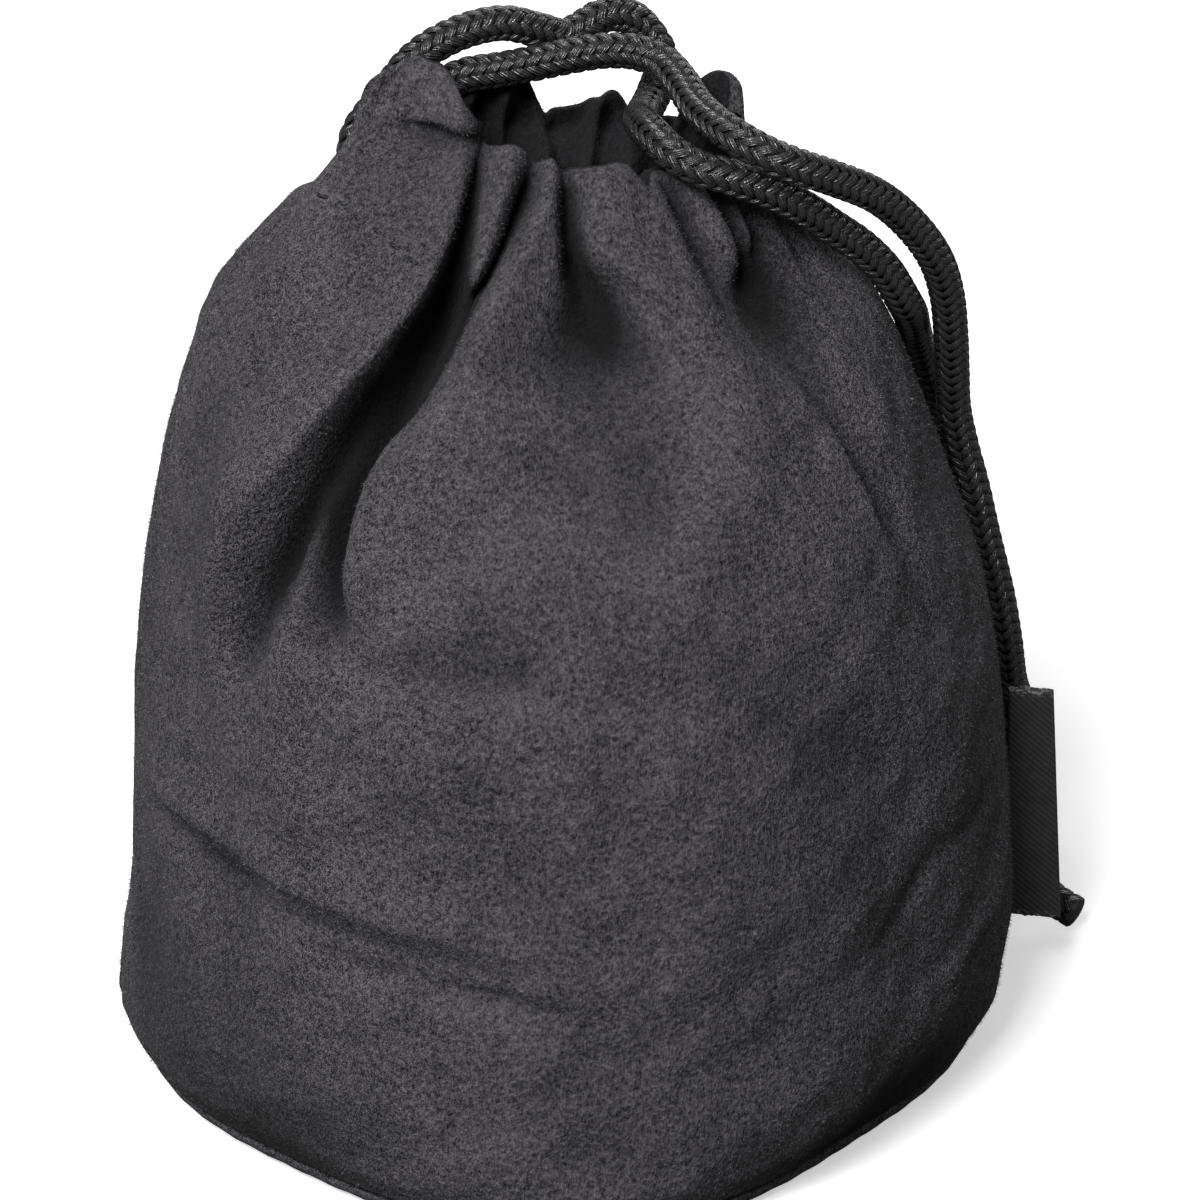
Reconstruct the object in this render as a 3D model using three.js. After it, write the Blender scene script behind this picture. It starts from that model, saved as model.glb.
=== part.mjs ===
// Soft drawstring pouch for a camera lens: a round base, two walls of napped cloth,
// a gathered hem that holds a braided cord, and a woven label in the right side seam.
// Millimetres, +Z up. The origin is the centre of the base, on the surface it stands on.
// The side seams lie on the X axis and the front faces -Y.
import * as THREE from 'three';

// Cloth, thread, and the air left between pieces that are sewn together
const clothThickness = 1.2;
const threadDiameter = 0.5;
const sewnGap = 0.3;

// Base: a shallow dish of cloth, a soft pad in it and a cloth cover over the pad
const baseSeamRadius = 44.2;
const baseTurnWidth = 4.7;
const baseRimHeight = 2.3;
const padThickness = 3;
const padMargin = 1;
const liningThickness = 1;

// Wall outline, station by station from the base seam to the lip. A rise is measured from
// the station below, half widths lie along X, half depths along Y, and leans shift X.
const wallOverhang = 0.6;
const heelRise = 3.6;
const heelRadius = 46.4;
const bellyRise = 23;
const bellyRadius = 45.3;
const bellyLean = 1.2;
const waistRise = 20;
const waistHalfWidth = 43.2;
const waistHalfDepth = 43.6;
const waistLean = 0.5;
const shoulderRise = 18;
const shoulderHalfWidth = 38.9;
const shoulderHalfDepth = 38.5;
const shoulderLean = -0.9;
const domeRise = 14;
const domeHalfWidth = 34.2;
const domeHalfDepth = 29;
const domeLean = -1.7;
const neckRise = 9;
const neckHalfWidth = 28.8;
const neckHalfDepth = 20.5;
const neckLean = -2;
const hemRise = 12;
const lipHalfWidth = 20.8;
const lipHalfDepth = 10.5;
const lipLean = -0.5;

// The lip stands up in an ear beside the cord opening and is pressed down where the cord
// crosses it. The back of the lip is lower than the front. Angles are in degrees from +X.
const earRise = 5;
const earTaper = 1.8;
const earAngle = 208;
const earSpread = 32;
const cordDip = 2.6;
const cordDipAngle = 322;
const cordDipSpread = 26;
const backLipDrop = 3.5;

// Gathers around the neck
const pleatCount = 12;
const pleatDepth = 0.8;

// Folds and ridges that run down the wall from the neck. The marks of a path are an angle, a
// height and how far the cloth is pressed in there, less than nothing where a ridge stands out.
// Each fades round the wall over a reach before its path and one after it.
const folds = [
  // Deep fold below the ear
  {
    before: 4.2,
    after: 4,
    path: [
      [250, 91, 0], [247, 89, 4], [243.5, 87, 6], [239, 84.5, 5.5], [234, 82, 2], [231, 80, 1.5],
      [228, 77.5, 2.2], [224, 74, 3], [220, 68, 3], [218, 63, 1.8], [216, 57, 0],
    ],
  },
  // Ridge from the ear to the left seam
  {
    before: 6,
    after: 2.8,
    path: [
      [236, 91, 0], [232, 88.5, -1.6], [224, 84, -2.4], [215, 78, -2.6], [205, 70, -2.2],
      [199, 62, -1.4], [195, 50, 0],
    ],
  },
  // Ridge on the right of the deep fold
  {
    before: 2.4,
    after: 6.2,
    path: [
      [257, 91, 0], [253, 87.5, -2], [246.5, 82.5, -2.8], [240.5, 79, -2.6], [236, 74.5, -2],
      [234.5, 69, -1.2], [236, 61, 0],
    ],
  },
  // Hollow below the middle of the mouth
  {
    before: 7,
    after: 6,
    path: [[274, 91, 0], [274, 88.5, 2.2], [273, 85, 1.4], [272, 79, 0.6], [272, 74, 0]],
  },
  // Crest that winds down the front
  {
    before: 4,
    after: 4.5,
    path: [
      [292, 91, 0], [297, 88.5, -2], [300, 86, -2.4], [298, 82, -2.1], [294, 78.5, -1.9],
      [288, 74.5, -1.6], [282, 71, -1.3], [277, 65, -1], [276, 55, -0.8], [279, 42, -0.9],
      [280, 35, -0.7], [276, 27, 0],
    ],
  },
  // Fold on the right of the front
  {
    before: 2.6,
    after: 4.5,
    path: [
      [316, 91, 0], [317, 88.5, 2.2], [318, 84, 0.8], [319, 80, 0], [321, 74, 1.4], [323, 69, 1.6],
      [325, 60, 0],
    ],
  },
  // Fold on the right of the back
  {
    before: 4.4,
    after: 4.2,
    path: [[56, 91, 0], [53, 88.5, 3.6], [50, 85, 3.2], [47, 82, 0.2], [45, 78, 0], [42, 72, 1.6], [38, 60, 0]],
  },
  // Fold on the left of the back
  {
    before: 4.2,
    after: 4.6,
    path: [
      [119, 91, 0], [123, 88.5, 3.8], [127, 84.5, 4.6], [130, 82, 0.5], [133, 78, 0.3], [136, 73, 2],
      [139, 67, 2.2], [142, 59, 0],
    ],
  },
  // Ridge on the right of the back
  {
    before: 2.4,
    after: 4.6,
    path: [[66, 91, 0], [59, 84, -1.8], [52, 75, -1.8], [47, 62, 0]],
  },
  // Ridge down the middle of the back
  {
    before: 4.5,
    after: 5,
    path: [[94, 91, 0], [96, 88, -1.8], [101, 80, -2.2], [104, 70, -1.4], [106, 57, 0]],
  },
  // Ridge on the left of the back
  {
    before: 5,
    after: 2.4,
    path: [[114, 91, 0], [118.5, 85, -2], [126, 76, -2.2], [131, 66, 0]],
  },
];

// Creases across the belly, where the standing cloth has sunk. Each is centred on an angle and a
// height, and spreads round the wall in degrees and up and down it in millimetres.
const creases = [
  { angle: 256, spread: 24, height: 62, rise: 4.5, press: 1.1 },
  { angle: 216, spread: 26, height: 37.5, rise: 4, press: -0.8 },
  { angle: 96, spread: 28, height: 61, rise: 4.5, press: 1 },
  { angle: 92, spread: 34, height: 36, rise: 4, press: -0.6 },
];

// Drawcord, its tunnel in the hem, and the way that each lip can still close
const cordDiameter = 3.7;
const tunnelClearance = 0.45;
const tunnelRise = 4.4;
const lipTravel = 1.2;
const openingFrontAngle = 184;
const openingBackAngle = 132;
const stitchMargin = 1;
const earClimb = 5;
const earClimbSpread = 48;
const cordSetback = 0.8;
const cordSetbackTurn = 16;

// Outline of the hem in shares of its thickness and of its rise, from the stitches
// up the outside, over the lip and down the inside
const hemOutline = [
  [0, 0],
  [0, 0.35],
  [0, 0.7],
  [0.22, 0.94],
  [0.5, 1],
  [0.78, 0.94],
  [1, 0.66],
  [1, 0.32],
  [0.62, 0.05],
  [0.34, 0],
];
const tunnelStartAngle = 230;

// Routes of the two free tails, from the opening at the left over the mouth to the knot
const tailRouteA = [
  [-16.8, 3, 85], [-17.6, 3, 88.5], [-18.2, 3, 92], [-18.4, 3, 97], [-18.2, 3.2, 100.5],
  [-17.4, 4, 103.5], [-15.3, 5, 106.7], [-13.7, 5.6, 108.3], [-11.4, 6.4, 109.6], [-8, 7.6, 110.5],
  [-4.1, 9, 110.4], [-0.5, 10.2, 108.9], [2.3, 11.2, 107.6], [4.6, 12.2, 108.2], [6.8, 13.4, 108.7],
  [9.4, 14.2, 107.9], [11.2, 14.2, 106], [12.4, 12.6, 103.6], [11, 8.8, 101.9], [9.3, 4.6, 101.7],
  [8.4, 0.6, 102.8], [8.2, -3.2, 103.9], [8.6, -7, 104.5], [10, -10, 103.9], [12.4, -11.6, 102.9],
  [14.2, -11.9, 102.4], [17.2, -11.6, 101], [20.2, -10.7, 99.2], [23.2, -9.4, 96.8], [26.3, -7.6, 93.8],
  [29.5, -6, 90.7], [32.3, -4.4, 87.1], [34.8, -2, 82.3], [36.3, 1.8, 78.8], [37.4, 5.6, 75.2],
  [38.6, 8.6, 71.4], [40.3, 10.8, 66.6], [42.6, 12, 60], [44.2, 13, 52], [45.6, 14, 44],
  [46.9, 15, 36], [48.4, 16, 27.5], [49.4, 16.7, 22.5], [49.4, 16.7, 19.8],
];
const tailRouteB = [
  [-18.2, 6.8, 85], [-18.8, 7, 88.5], [-19.3, 7.2, 92], [-19.5, 7.2, 97], [-19, 7.4, 100],
  [-17, 8.2, 102.3], [-13.9, 8.4, 103.4], [-11, 8, 104.3], [-8.3, 7.4, 105.7], [-4.5, 6.8, 106.4],
  [-0.9, 6.2, 107.2], [2.4, 6, 107.8], [5.5, 6, 108.1], [8.7, 5.6, 107.9], [11.1, 4, 107.3],
  [12.4, 0.4, 106.7], [13.3, -4, 106], [14.5, -8, 105.9], [16.4, -11.4, 105.6], [18.8, -13.2, 104.7],
  [21.9, -13, 103.1], [25.6, -11.2, 100.8], [30.4, -8.4, 97.3], [34.6, -5.2, 92.4], [37.7, -2.8, 87.3],
  [39.5, -0.4, 81.9], [40.5, 1.8, 75.9], [41.2, 4, 70.6], [41.8, 5.6, 65.8], [42.9, 6.4, 61],
  [44.1, 6.4, 56.5], [45.5, 6.6, 50.4], [47.3, 7, 43], [48.4, 7.6, 37.2], [49.5, 9.4, 31.1],
  [51.2, 12.2, 26], [51.8, 13.3, 22.5], [51.8, 13.3, 19.8],
];
const tailSteps = 44;

// Knot at the end of the tails and the two cut ends below it
const knotRadius = 5.4;
const knotHeight = 11;
const knotCentre = [50.6, 15, 14];
const knotCrown = 0.82;
const endRouteA = [[52, 13.2, 8.2], [52, 13.2, 7.2], [53, 11.6, 5.2], [55, 9.6, 3.6], [57, 8, 2.7]];
const endRouteB = [[49.6, 16.8, 8.2], [49.6, 16.8, 7.2], [50, 18, 5], [50.6, 20, 3.2], [51.8, 22, 2.6]];
const endSteps = 6;

// Folded label in the right side seam
const labelFootHeight = 8.5;
const labelHeight = 27;
const labelThickness = 0.9;
const labelFootReach = 6.2;
const labelTopReach = 4.5;

// Fineness of the facets
const stepsPerPleat = 6;
const rowsPerStation = 3;
const discSides = 48;
const turnSteps = 4;
const cordSides = 8;
const threadSides = 4;
const knotSides = 16;
const labelRows = 8;

const baseFlatRadius = baseSeamRadius - baseTurnWidth;
const wallFootHeight = baseRimHeight + threadDiameter + 2 * sewnGap;
const heelHeight = wallFootHeight + heelRise;
const bellyHeight = heelHeight + bellyRise;
const waistHeight = bellyHeight + waistRise;
const shoulderHeight = waistHeight + shoulderRise;
const domeHeight = shoulderHeight + domeRise;
const stitchHeight = domeHeight + neckRise;
const lipHeight = stitchHeight + hemRise;
const wallFootRadius = baseSeamRadius + wallOverhang;
const tunnelWidth = cordDiameter + 2 * tunnelClearance;
const tunnelInset = clothThickness + tunnelWidth / 2;
const hemThickness = tunnelWidth + 2 * clothThickness;
const hemFootHeight = stitchHeight + sewnGap / 2;
const hemDrawIn = (neckHalfWidth - lipHalfWidth + neckHalfDepth - lipHalfDepth) / 2;
const hemSlope = Math.atan(hemDrawIn / hemRise);
const panelTopHeight = stitchHeight - sewnGap / 2;
const lipEndGap = lipTravel + sewnGap;
const runEndGap = lipEndGap + cordSetback;
const seamHalfGap = threadDiameter / 2 + sewnGap;
const halfColumns = (pleatCount / 2) * stepsPerPleat;

const stations = [
  [wallFootHeight, wallFootRadius, wallFootRadius, 0],
  [heelHeight, heelRadius, heelRadius, 0],
  [bellyHeight, bellyRadius, bellyRadius, bellyLean],
  [waistHeight, waistHalfWidth, waistHalfDepth, waistLean],
  [shoulderHeight, shoulderHalfWidth, shoulderHalfDepth, shoulderLean],
  [domeHeight, domeHalfWidth, domeHalfDepth, domeLean],
  [stitchHeight, neckHalfWidth, neckHalfDepth, neckLean],
  [lipHeight, lipHalfWidth, lipHalfDepth, lipLean],
  [lipHeight + earRise, lipHalfWidth - earTaper, lipHalfDepth - earTaper, lipLean],
];

const radians = THREE.MathUtils.degToRad;
const bell = (offset, spread) => Math.exp(-((offset / spread) ** 2));
const flatBell = (offset, spread) => Math.exp(-((offset / spread) ** 4));

// Slope of one column of the stations at station i, from its neighbours
function stationSlope(i, column) {
  const before = stations[Math.max(i - 1, 0)];
  const after = stations[Math.min(i + 1, stations.length - 1)];
  return (after[column] - before[column]) / (after[0] - before[0]);
}

// Value and slope of one column at a height, on a smooth curve through the stations
function outlineValue(height, column) {
  let i = 0;
  while (i < stations.length - 2 && height > stations[i + 1][0]) i += 1;
  const span = stations[i + 1][0] - stations[i][0];
  const t = (height - stations[i][0]) / span;
  const start = stations[i][column];
  const end = stations[i + 1][column];
  const startPull = stationSlope(i, column) * span;
  const endPull = stationSlope(i + 1, column) * span;
  const cubic = 2 * start - 2 * end + startPull + endPull;
  const square = 3 * end - 3 * start - 2 * startPull - endPull;
  const value = ((cubic * t + square) * t + startPull) * t + start;
  const slope = ((3 * cubic * t + 2 * square) * t + startPull) / span;
  return { value, slope };
}

// Semi-axes of the wall at a height, taken in by an inset measured square to the cloth
function wallRing(height, inset) {
  const width = outlineValue(height, 1);
  const depth = outlineValue(height, 2);
  return {
    halfWidth: width.value - inset * Math.hypot(1, width.slope),
    halfDepth: depth.value - inset * Math.hypot(1, depth.slope),
    lean: outlineValue(height, 3).value,
  };
}

function wallPoint(theta, height, inset) {
  const ring = wallRing(height, inset);
  const x = ring.lean + ring.halfWidth * Math.cos(theta);
  return new THREE.Vector3(x, ring.halfDepth * Math.sin(theta), height);
}

// How far the gathers stand out of the cloth
function pleatAt(theta, height) {
  const gathered = THREE.MathUtils.smoothstep(height, shoulderHeight, stitchHeight);
  return pleatDepth * gathered * (0.5 + 0.5 * Math.cos(pleatCount * theta));
}

// Angle and press of a fold at a height, in straight runs between the marks of its path
function foldMark(path, height) {
  const foot = path.findIndex((mark) => mark[1] <= height);
  if (foot < 1) return null;
  const [upperAngle, upperHeight, upperPress] = path[foot - 1];
  const [lowerAngle, lowerHeight, lowerPress] = path[foot];
  const share = (upperHeight - height) / (upperHeight - lowerHeight);
  const angle = THREE.MathUtils.lerp(upperAngle, lowerAngle, share);
  return { angle, press: THREE.MathUtils.lerp(upperPress, lowerPress, share) };
}

// How far the folds and creases press the cloth in at a place, summed over all that reach it
function foldAt(theta, height) {
  const { halfWidth, halfDepth } = wallRing(height, 0);
  const arcRadius = Math.hypot(halfWidth * Math.sin(theta), halfDepth * Math.cos(theta));
  let press = 0;
  for (const fold of folds) {
    const mark = foldMark(fold.path, height);
    if (!mark) continue;
    const arc = (theta - radians(mark.angle)) * arcRadius;
    press += mark.press * bell(arc, arc < 0 ? fold.before : fold.after);
  }
  for (const crease of creases) {
    const away = THREE.MathUtils.radToDeg(theta) - crease.angle;
    press += crease.press * flatBell(away, crease.spread) * bell(height - crease.height, crease.rise);
  }
  return press;
}

// Indexed geometry from points and triangles, turned so that its faces point out
function solidFrom(points, triangles) {
  let volume = 0;
  for (const [a, b, c] of triangles) {
    const normal = new THREE.Vector3().crossVectors(points[b], points[c]);
    volume += points[a].dot(normal);
  }
  const facing = volume > 0 ? triangles : triangles.map(([a, b, c]) => [a, c, b]);
  const geometry = new THREE.BufferGeometry().setFromPoints(points);
  geometry.setIndex(facing.flat());
  geometry.computeVertexNormals();
  return geometry;
}

// Closed slab between two faces, each a grid of points over columns and rows
function slab(columns, rows, outerPoint, innerPoint) {
  const points = [];
  for (const pointAt of [outerPoint, innerPoint]) {
    for (let row = 0; row <= rows; row += 1) {
      for (let column = 0; column <= columns; column += 1) points.push(pointAt(column, row));
    }
  }
  const innerStart = (columns + 1) * (rows + 1);
  const outer = (column, row) => row * (columns + 1) + column;
  const inner = (column, row) => innerStart + outer(column, row);
  const triangles = [];
  const quad = (a, b, c, d) => triangles.push([a, b, c], [a, c, d]);
  for (let row = 0; row < rows; row += 1) {
    for (let column = 0; column < columns; column += 1) {
      quad(outer(column, row), outer(column + 1, row), outer(column + 1, row + 1), outer(column, row + 1));
      quad(inner(column, row), inner(column, row + 1), inner(column + 1, row + 1), inner(column + 1, row));
    }
    quad(outer(0, row), outer(0, row + 1), inner(0, row + 1), inner(0, row));
    quad(outer(columns, row), inner(columns, row), inner(columns, row + 1), outer(columns, row + 1));
  }
  for (let column = 0; column < columns; column += 1) {
    quad(outer(column, 0), inner(column, 0), inner(column + 1, 0), outer(column + 1, 0));
    quad(outer(column, rows), outer(column + 1, rows), inner(column + 1, rows), inner(column, rows));
  }
  return solidFrom(points, triangles);
}

// Tube with closed ends, made of a round section carried along a smooth curve
function tube(points, diameter, steps, sides) {
  const section = new THREE.Shape().absarc(0, 0, diameter / 2, 0, 2 * Math.PI);
  const path = new THREE.CatmullRomCurve3(points, false, 'centripetal');
  return new THREE.ExtrudeGeometry(section, { steps, extrudePath: path, curveSegments: sides / 2 });
}

const cordTube = (points, steps) => tube(points, cordDiameter, steps, cordSides);
const threadTube = (points) => tube(points, threadDiameter, points.length - 1, threadSides);
const routePoints = (route) => route.map((point) => new THREE.Vector3(...point));

// Heights of the rows of a wall panel, in even shares between the stations
function panelHeights() {
  const marks = stations.map((station) => station[0]).filter((height) => height < stitchHeight);
  marks.push(panelTopHeight);
  const heights = [marks[0]];
  for (let i = 1; i < marks.length; i += 1) {
    for (let share = 1; share <= rowsPerStation; share += 1) {
      heights.push(THREE.MathUtils.lerp(marks[i - 1], marks[i], share / rowsPerStation));
    }
  }
  return heights;
}

// Half of the wall, from one side seam round to the other. It starts at the angle turn.
function wallPanel(turn) {
  const heights = panelHeights();
  const face = (layerInset) => (column, row) => {
    const height = heights[row];
    const nominal = turn + (Math.PI * column) / halfColumns;
    const inset = layerInset(nominal, height) + foldAt(nominal, height);
    const margin = Math.asin(seamHalfGap / wallRing(height, inset).halfDepth);
    const theta = THREE.MathUtils.lerp(turn + margin, turn + Math.PI - margin, column / halfColumns);
    return wallPoint(theta, height, inset);
  };
  const outside = face((theta, height) => -pleatAt(theta, height));
  const inside = face(() => clothThickness);
  return slab(halfColumns, heights.length - 1, outside, inside);
}

// Angles along the hem halves: each runs from a set angle at the cord opening to a flat end
// that stays the end gap away from the plane of the right seam
const frontHemAngle = (endGap, openingTurn) => (share, halfDepth) => {
  const leftEnd = radians(openingFrontAngle + openingTurn);
  const rightEnd = 2 * Math.PI - Math.asin(endGap / halfDepth);
  return THREE.MathUtils.lerp(leftEnd, rightEnd, share);
};

const backHemAngle = (endGap, openingTurn) => (share, halfDepth) => {
  const leftEnd = radians(openingBackAngle - openingTurn);
  const rightEnd = Math.asin(endGap / halfDepth);
  return THREE.MathUtils.lerp(rightEnd, leftEnd, share);
};

function frontLipHeight(theta) {
  const angle = THREE.MathUtils.radToDeg(theta);
  const ear = earRise * flatBell(angle - earAngle, earSpread);
  const dip = cordDip * bell(angle - cordDipAngle, cordDipSpread);
  return lipHeight + ear - dip;
}

const backLipHeight = () => lipHeight - backLipDrop;

// Point of a hem at an inset and height, held inside the hem's own two ends
function hemPoint(angleAt, share, inset, height, standsOut) {
  const theta = angleAt(share, wallRing(height, inset).halfDepth);
  return wallPoint(theta, height, inset - standsOut * pleatAt(theta, height));
}

// How far the tunnel and its stitches climb where the hem runs up into the ear
function climbAt(angleAt, share) {
  const angle = THREE.MathUtils.radToDeg(angleAt(share, neckHalfDepth));
  return earClimb * bell(angle - earAngle, earClimbSpread);
}

// Point of the round tunnel that faces a numbered point of the hem's outline. The cloth
// slopes in towards the mouth, so the circle is measured along and across that slope.
function tunnelPoint(number, climb) {
  const turn = radians(tunnelStartAngle) - (2 * Math.PI * number) / hemOutline.length;
  const reach = tunnelWidth / 2;
  const up = tunnelRise + climb + reach * Math.sin(turn - hemSlope);
  return [tunnelInset + reach * Math.cos(turn), up];
}

// Half of the hem: cloth turned over into a tunnel, swept round from end to end
function hem(angleAt, lipHeightAt) {
  const sides = hemOutline.length;
  const points = [];
  for (let column = 0; column <= halfColumns; column += 1) {
    const share = column / halfColumns;
    const rise = lipHeightAt(angleAt(share, neckHalfDepth)) - hemFootHeight;
    const outline = hemOutline.map(([depth, up]) => [depth * hemThickness, up * rise]);
    const climb = climbAt(angleAt, share);
    const tunnel = outline.map((_, number) => tunnelPoint(number, climb));
    for (const [inset, up] of outline) {
      const standsOut = Math.max(0, 1 - (2 * inset) / hemThickness);
      points.push(hemPoint(angleAt, share, inset, hemFootHeight + up, standsOut));
    }
    for (const [inset, up] of tunnel) {
      points.push(hemPoint(angleAt, share, inset, hemFootHeight + up, 0));
    }
  }
  const ring = 2 * sides;
  const triangles = [];
  const quad = (a, b, c, d) => triangles.push([a, b, c], [a, c, d]);
  for (let side = 0; side < sides; side += 1) {
    const next = (side + 1) % sides;
    for (let column = 0; column < halfColumns; column += 1) {
      const here = column * ring;
      const there = here + ring;
      quad(here + side, there + side, there + next, here + next);
      quad(here + sides + side, here + sides + next, there + sides + next, there + sides + side);
    }
    const last = halfColumns * ring;
    quad(side, next, sides + next, sides + side);
    quad(last + side, last + sides + side, last + sides + next, last + next);
  }
  return solidFrom(points, triangles);
}

// Row of stitches that closes the tunnel, lying on the outside of the hem
function hemStitches(angleAt) {
  const lift = sewnGap + threadDiameter / 2;
  const points = [];
  for (let column = 0; column <= halfColumns; column += 1) {
    const share = column / halfColumns;
    const height = hemFootHeight + stitchMargin + climbAt(angleAt, share);
    points.push(hemPoint(angleAt, share, -lift, height, 1));
  }
  return threadTube(points);
}

// Stretch of the drawcord inside one half of the hem
function cordRun(angleAt) {
  const points = [];
  for (let column = 0; column <= halfColumns; column += 1) {
    const share = column / halfColumns;
    const height = hemFootHeight + tunnelRise + climbAt(angleAt, share);
    points.push(hemPoint(angleAt, share, tunnelInset, height, 0));
  }
  return cordTube(points, halfColumns);
}

// Thread in the groove of a side seam, at the angle of that seam
function seamThread(theta) {
  const points = panelHeights().map((height) => wallPoint(theta, height, clothThickness / 2));
  points[0].z += sewnGap;
  return threadTube(points);
}

// Ring of thread between the base and the wall
function baseThread() {
  const radius = baseSeamRadius - clothThickness / 2;
  const geometry = new THREE.TorusGeometry(radius, threadDiameter / 2, threadSides, discSides);
  return geometry.translate(0, 0, baseRimHeight + sewnGap + threadDiameter / 2);
}

// Dish of cloth: flat where it stands, turned up in a quarter round to the base seam
function baseDish() {
  const outside = [new THREE.Vector2(0, 0)];
  const inside = [new THREE.Vector2(0, clothThickness)];
  for (let step = 0; step <= turnSteps; step += 1) {
    const turn = (Math.PI / 2) * (step / turnSteps);
    const out = (baseSeamRadius - baseFlatRadius) * Math.sin(turn);
    const up = baseRimHeight * (1 - Math.cos(turn));
    outside.push(new THREE.Vector2(baseFlatRadius + out, up));
    const innerOut = (baseSeamRadius - clothThickness - baseFlatRadius) * Math.sin(turn);
    const innerUp = (baseRimHeight - clothThickness) * (1 - Math.cos(turn));
    inside.push(new THREE.Vector2(baseFlatRadius + innerOut, clothThickness + innerUp));
  }
  const profile = outside.concat(inside.reverse());
  return new THREE.LatheGeometry(profile, discSides).rotateX(Math.PI / 2);
}

function disc(radius, thickness, footHeight) {
  const geometry = new THREE.CylinderGeometry(radius, radius, thickness, discSides);
  return geometry.rotateX(Math.PI / 2).translate(0, 0, footHeight + thickness / 2);
}

const padFootHeight = clothThickness + sewnGap;
const liningFootHeight = padFootHeight + padThickness + sewnGap;
const liningTopHeight = liningFootHeight + liningThickness;
const liningRoom = [liningFootHeight, liningTopHeight].map((height) => wallRing(height, clothThickness));
const liningRadius = Math.min(...liningRoom.map((ring) => ring.halfWidth)) - sewnGap;

// Knot as a barrel with a flat top and foot, drawn in a little at its middle
function knotBarrel() {
  const crown = knotRadius * knotCrown;
  const quarter = knotHeight / 4;
  const profile = [
    new THREE.Vector2(0, -2 * quarter),
    new THREE.Vector2(crown, -2 * quarter),
    new THREE.Vector2(knotRadius, -quarter),
    new THREE.Vector2(0.5 * (crown + knotRadius), 0),
    new THREE.Vector2(knotRadius, quarter),
    new THREE.Vector2(crown, 2 * quarter),
    new THREE.Vector2(0, 2 * quarter),
  ];
  return new THREE.LatheGeometry(profile, knotSides).rotateX(Math.PI / 2);
}

// Label: a strip that starts along the wall at the seam and ends in a slanted folded edge.
// It turns about the upright line of its outermost root, clear of the wall by the sewn gap.
function seamLabel() {
  const rootGap = sewnGap + labelThickness / 2;
  const heightAt = (row) => labelFootHeight + (labelHeight * row) / labelRows;
  const rootAt = (row) => wallPoint(0, heightAt(row), 0).x + rootGap;
  let hinge = 0;
  for (let row = 0; row <= labelRows; row += 1) hinge = Math.max(hinge, rootAt(row));
  const face = (y) => (column, row) => {
    const reach = THREE.MathUtils.lerp(labelFootReach, labelTopReach, row / labelRows);
    const x = column === 0 ? rootAt(row) : hinge + reach;
    return new THREE.Vector3(x, y, heightAt(row));
  };
  return slab(1, labelRows, face(-labelThickness / 2), face(labelThickness / 2));
}

const suede = { color: 0x3d3d3e, roughness: 0.95, metalness: 0 };
const foam = { color: 0x55565a, roughness: 0.9, metalness: 0 };
const thread = { color: 0x2b2b2c, roughness: 0.7, metalness: 0 };
const braid = { color: 0x262627, roughness: 0.55, metalness: 0 };
const ribbon = { color: 0x202021, roughness: 0.6, metalness: 0 };

function piece(name, geometry, finish) {
  const mesh = new THREE.Mesh(geometry, new THREE.MeshStandardMaterial(finish));
  mesh.name = name;
  return mesh;
}

const base = new THREE.Group();
base.add(piece('base_panel', baseDish(), suede));
base.add(piece('base_pad', disc(baseFlatRadius - padMargin, padThickness, padFootHeight), foam));
base.add(piece('base_lining', disc(liningRadius, liningThickness, liningFootHeight), suede));
base.add(piece('base_seam_thread', baseThread(), thread));

const wall = new THREE.Group();
wall.add(piece('front_panel', wallPanel(Math.PI), suede));
wall.add(piece('back_panel', wallPanel(0), suede));
wall.add(piece('left_seam_thread', seamThread(Math.PI), thread));
wall.add(piece('right_seam_thread', seamThread(0), thread));
wall.add(piece('side_label', seamLabel(), ribbon));

const frontHem = new THREE.Group();
frontHem.add(piece('front_casing', hem(frontHemAngle(lipEndGap, 0), frontLipHeight), suede));
frontHem.add(piece('front_casing_stitch', hemStitches(frontHemAngle(lipEndGap, 0)), thread));
frontHem.add(piece('drawcord_front_run', cordRun(frontHemAngle(runEndGap, cordSetbackTurn)), braid));

const backHem = new THREE.Group();
backHem.add(piece('back_casing', hem(backHemAngle(lipEndGap, 0), backLipHeight), suede));
backHem.add(piece('back_casing_stitch', hemStitches(backHemAngle(lipEndGap, 0)), thread));
backHem.add(piece('drawcord_back_run', cordRun(backHemAngle(runEndGap, cordSetbackTurn)), braid));

const tails = new THREE.Group();
tails.add(piece('drawcord_tail_a', cordTube(routePoints(tailRouteA), tailSteps), braid));
tails.add(piece('drawcord_tail_b', cordTube(routePoints(tailRouteB), tailSteps), braid));
const knot = piece('end_knot', knotBarrel(), braid);
knot.position.set(...knotCentre);
tails.add(knot);
tails.add(piece('cord_end_a', cordTube(routePoints(endRouteA), endSteps), braid));
tails.add(piece('cord_end_b', cordTube(routePoints(endRouteB), endSteps), braid));

const pouch = new THREE.Group();
pouch.add(base, wall, frontHem, backHem, tails);
export default pouch;
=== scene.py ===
import math

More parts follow.
